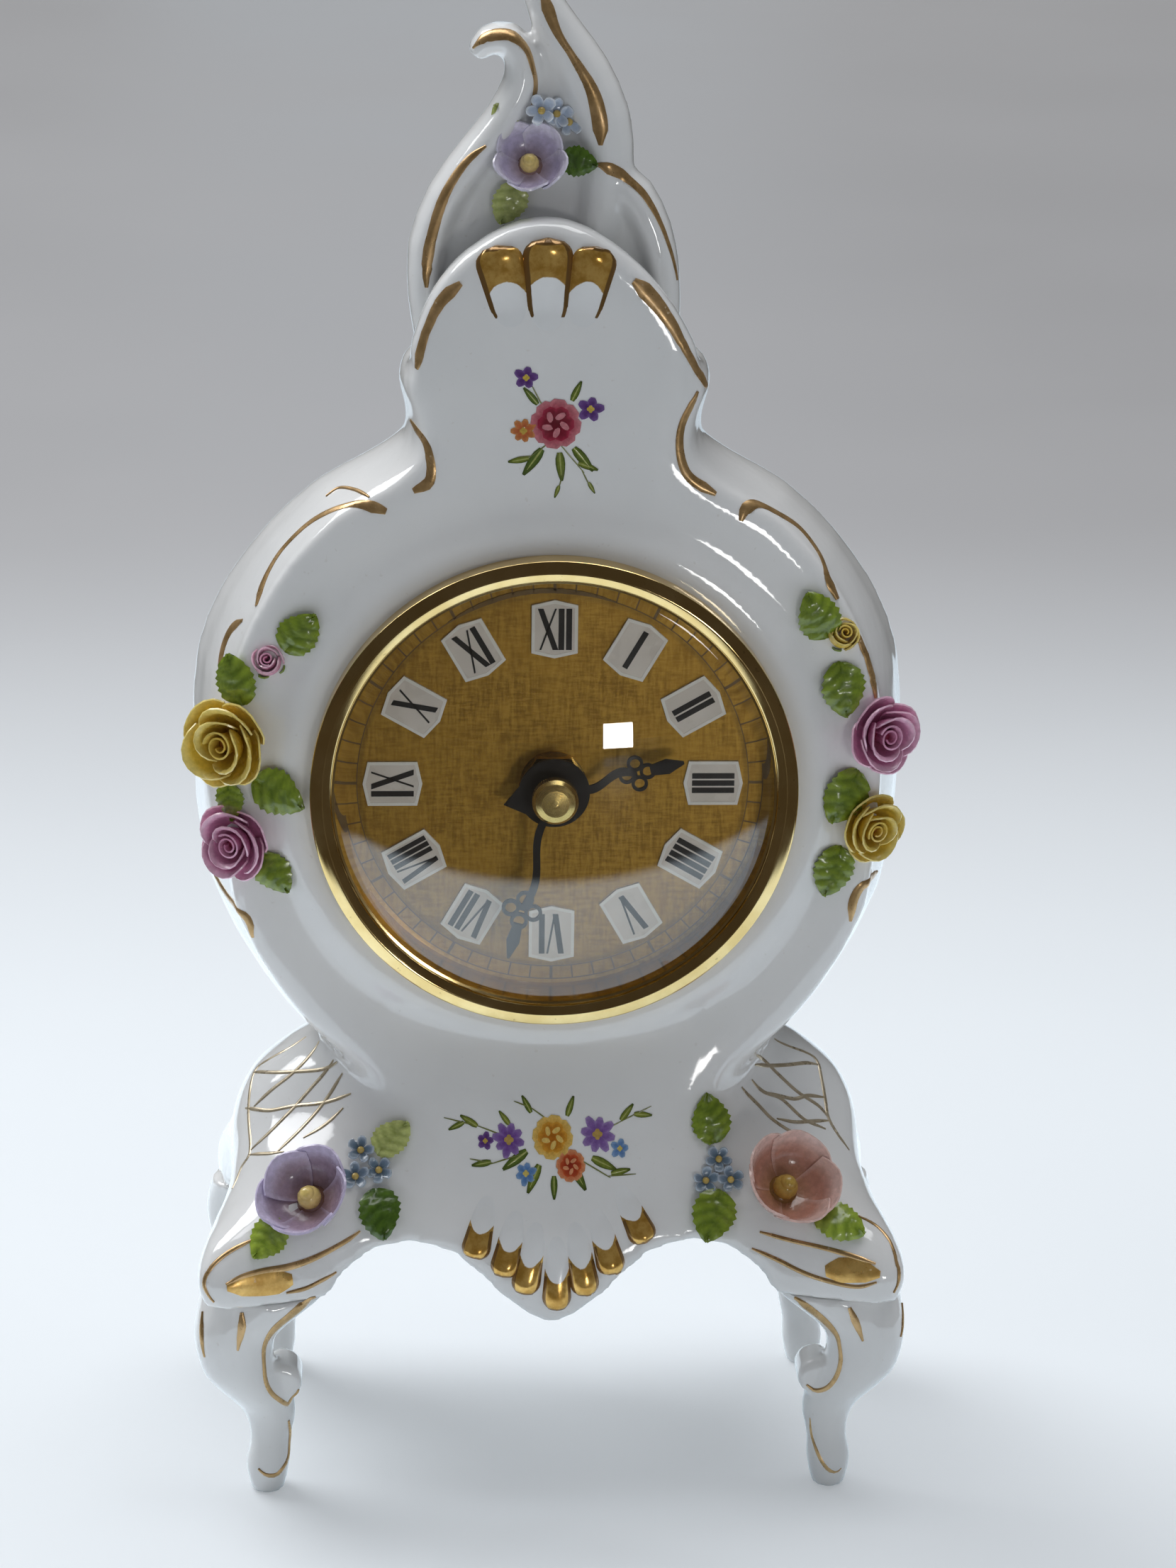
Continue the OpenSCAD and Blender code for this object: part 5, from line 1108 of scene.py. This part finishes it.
plaque_enamel = moulded(
    "plaque_enamel", (0.76, 0.70, 0.63), (0.86, 0.80, 0.73), 0.22, 0.4, 0.0006, 0.00001, 0.2
)
bm = bmesh.new()
for hour in range(12):
    bm.faces.new(plaque(bm, hour, PLAQUE_FOOT))
raised(bm, PLAQUE_TOP - PLAQUE_FOOT)
piece("numeral_plaques_enamelled", bm, plaque_enamel, ["numeral_plaques"], smooth=False)

rim_enamel = moulded(
    "plaque_rim_enamel", (0.92, 0.90, 0.84), (0.96, 0.94, 0.89), 0.2, 0.35, 0.0005, 0.00001, 0.3
)
rim_foot, rim_w, rim_h = 0.47, 0.55, 0.1
bm = bmesh.new()
for hour in range(12):
    outer, inner = plaque(bm, hour, rim_foot), plaque(bm, hour, rim_foot, rim_w)
    for k in range(6):
        bm.faces.new((outer[k], outer[k - 1], inner[k - 1], inner[k]))
raised(bm, rim_h)
piece("plaque_rims", bm, rim_enamel, smooth=False)

track_in, track_out, line_half, track_foot, track_top = 34.2, 36.6, 0.09, -0.02, 0.035
bm = bmesh.new()
for r in (track_in, track_out):
    turned(bm, [(r - line_half, track_foot), (r + line_half, track_foot),
                (r + line_half, track_top), (r - line_half, track_top)], 180)
for minute in range(60):
    half = 0.26 if minute % 5 == 0 else 0.13
    corners = [(track_in, -half), (track_in, half), (track_out, half), (track_out, -half)]
    low = [bm.verts.new(dial_spot(minute / 5, u, r - PLAQUE_R, track_foot)) for r, u in corners]
    drawn_out(bm, [bm.faces.new(low)], track_top - track_foot)
bmesh.ops.recalc_face_normals(bm, faces=bm.faces)
track_ink = moulded("track_ink", (0.14, 0.08, 0.016), (0.19, 0.11, 0.022), 0.35, 0.5, 0.0003, 0.000006)
piece("minute_track", bm, track_ink, smooth=False)

# Finishes of the CAD nodes that keep their form
for finish, names in (
    (brushed_dial(), "dial_plate"),
    (turned_brass("turned_brass", (0.80, 0.60, 0.24), (0.60, 0.42, 0.13), 0.16, 0.28, 0.00025),
     "sight_ring brass_washer hex_nut threaded_bush"),
    (turned_brass("nut_brass", (0.94, 0.74, 0.32), (0.80, 0.60, 0.22), 0.2, 0.32, 0.0003, 0.000004),
     "hand_nut"),
    (moulded("black_lacquer", (0.006, 0.006, 0.008), (0.014, 0.014, 0.016), 0.42, 0.55, 0.0005, 0.00001,
             0.0, 0.25), "hour_hand minute_hand"),
    (plated("rolled_steel", (0.42, 0.42, 0.42), (0.62, 0.62, 0.61), 0.2, 0.36, (1, 0.2, 1)),
     "dial_pan clamp_strips"),
    (plated("zinc_plated", (0.46, 0.47, 0.47), (0.66, 0.67, 0.68), 0.22, 0.38, (0.3, 1, 1)),
     "clamp_studs clamp_nuts minute_arbor"),
    (plated("core_steel", (0.24, 0.24, 0.25), (0.38, 0.38, 0.39), 0.28, 0.45, (1, 1, 0.2)), "stator"),
    (plated("nickel_plated", (0.56, 0.54, 0.50), (0.74, 0.72, 0.68), 0.14, 0.26, (1, 0.3, 1)),
     "contact_positive contact_negative"),
    (moulded("ferrite", (0.03, 0.03, 0.035), (0.07, 0.07, 0.075), 0.4, 0.55, 0.0002, 0.00001), "rotor"),
    (moulded("housing_plastic", (0.018, 0.018, 0.020), (0.035, 0.035, 0.038), 0.34, 0.5, 0.00045, 0.00003),
     "housing_front housing_back"),
    (moulded("knob_plastic", (0.30, 0.30, 0.29), (0.42, 0.42, 0.40), 0.3, 0.45, 0.0004, 0.00002),
     "setting_knob"),
    (moulded("nylon_wheels", (0.66, 0.65, 0.60), (0.80, 0.79, 0.74), 0.3, 0.45, 0.0005, 0.00001),
     "hour_wheel minute_wheel centre_wheel third_wheel fourth_wheel"),
    (moulded("soft_rubber", (0.016, 0.016, 0.016), (0.04, 0.04, 0.04), 0.6, 0.8, 0.0004, 0.00005),
     "clamp_pads rubber_washer"),
    (moulded("board_green", (0.015, 0.075, 0.03), (0.03, 0.13, 0.05), 0.24, 0.4, 0.0006, 0.00002, 0.2),
     "circuit_board"),
    (wound_wire(), "coil"),
    (cell_sleeve(), "battery"),
):
    for name in names.split():
        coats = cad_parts[name].data.materials
        coats.clear()
        coats.append(finish)


# Stage, lamps and camera
def pale_floor():
    """A pale table and cove. The camera sees a share of its colour as light, which lightens shadows.
    Mirrored rays see a painted reflection in it: the table glows as a lit strip near the clock and dimly as a
    dark room beyond it."""
    f = Finish("pale_floor")
    black, painted_lit_strip, painted_dark_room = (0.0, 0.0, 0.0), (0.22, 0.31, 0.37), (0.045, 0.036, 0.026)
    x, y, _ = f.axes(f.place())
    cloud = f.mottle(0.35, 3)
    # The table's colour holds a painted pool of light: lighter near the clock, painted darker behind it as
    # table in shade, and a mid grey far back.
    lit = f.tone(cloud, (0.785, 0.83, 0.87), (0.81, 0.855, 0.89))
    shade = f.tone(cloud, (0.375, 0.375, 0.385), (0.41, 0.41, 0.42))
    far = f.tone(cloud, (0.59, 0.59, 0.60), (0.63, 0.63, 0.64))
    colour = f.tone(f.step(y, 0.12, 0.70), lit, shade)
    colour = f.tone(f.step(y, 0.80, 2.30), colour, far)
    seen = f.ray("Is Camera Ray") * 0.34
    # Mirrored rays see the floor glow as a painted reflection, a lit strip near the clock and a dark room
    # beyond it, with its own colour turned black there.
    mirrored = f.ray("Is Glossy Ray") * (1 - f.maths("MINIMUM", f.ray("Diffuse Depth"), 1.0))
    in_front, beside = 1 - f.step(y, -0.19, -0.165), f.step(f.maths("ABSOLUTE", x - 0.03), 0.24, 0.27)
    beyond = f.maths("MAXIMUM", in_front, beside)
    lying = f.tone(f.maths("MAXIMUM", seen, mirrored * beyond), colour, black)
    glow = f.tone(seen, black, colour)
    glow = f.tone(mirrored, glow, f.tone(beyond, painted_lit_strip, painted_dark_room))
    rough = f.step(cloud, 0.3, 0.7, 0.5, 0.6)
    relief = f.relief(cloud, 0.0005)
    return f.close(f.surface(lying, rough, relief, Emission_Color=glow, Emission_Strength=1.0))


floor_half = 2.6
sweep = [(-3.6, 0.0), (1.99, 0.0)] + arc(2.0, 1.0, 1.0, -90, 0, 32) + [(3.0, 1.01), (3.0, 3.0)]
bm = bmesh.new()
for row, (y, z) in zip(grid(bm, 2, len(sweep) - 1), sweep):
    for k, v in enumerate(row):
        v.co = ((k - 1) * floor_half, y, z)
floor = mesh_of("floor_and_cove", bm)
floor.shade_smooth()
floor.materials.append(pale_floor())
placed("floor_and_cove", floor)


def lamp(name, place, aim, size, power, colour, spread=180):
    light = bpy.data.lights.new(name, "AREA")
    light.shape = "RECTANGLE"
    light.size, light.size_y = size
    light.energy = power
    light.spread = math.radians(spread)
    light.color = colour
    made = placed(name, light)
    made.location = place
    made.rotation_euler = (Vector(aim) - Vector(place)).to_track_quat("-Z", "Y").to_euler()
    made.visible_camera = False


lamp("window_behind_left", (-0.9, 0.7, 1.3), (0, -0.1, 0), (1.0, 0.8), 17, (0.97, 0.985, 1.0))
lamp("window_front_right", (0.45, -1.49, 0.115), (0.01, -0.02, 0.14), (0.19, 0.16), 0.06, (1.0, 0.99, 0.97), 36)
lamp("sky_overhead", (0.1, 0.3, 1.7), (0, 0, 0), (1.6, 1.0), 18, (0.97, 0.98, 1.0))

AIR, DARK_ROOM, BACKDROP = (0.19, 0.195, 0.205), (0.05, 0.042, 0.034), (0.36, 0.36, 0.365)
room = Finish("room", bpy.data.worlds.new("room"))
shown = room.tone(room.ray("Is Glossy Ray"), AIR, DARK_ROOM)
shown = room.tone(room.ray("Is Camera Ray"), shown, BACKDROP)
backdrop = room.node("Background", None, {"Color": shown, "Strength": 1.0})
bpy.context.scene.world = room.close(backdrop, "OutputWorld")

view = bpy.data.cameras.new("camera")
view.lens = 91.5
view.sensor_width = 36
view.clip_start, view.clip_end = 0.02, 20
camera = placed("camera", view)
camera_at = (-0.028587, -0.673331, 0.351841)
forward = Vector((0.0496306, 0.9470218, -0.3173047)).normalized()
level = Vector((math.cos(math.radians(-3)), math.sin(math.radians(-3)), 0))
right = Matrix.Rotation(math.radians(-0.8), 3, forward) @ level
upward = right.cross(forward)
turned_to = Matrix((right, upward, -forward)).transposed().to_4x4()
camera.matrix_world = Matrix.Translation(camera_at) @ turned_to
bpy.context.scene.camera = camera
bpy.context.scene.view_settings.view_transform = "Standard"
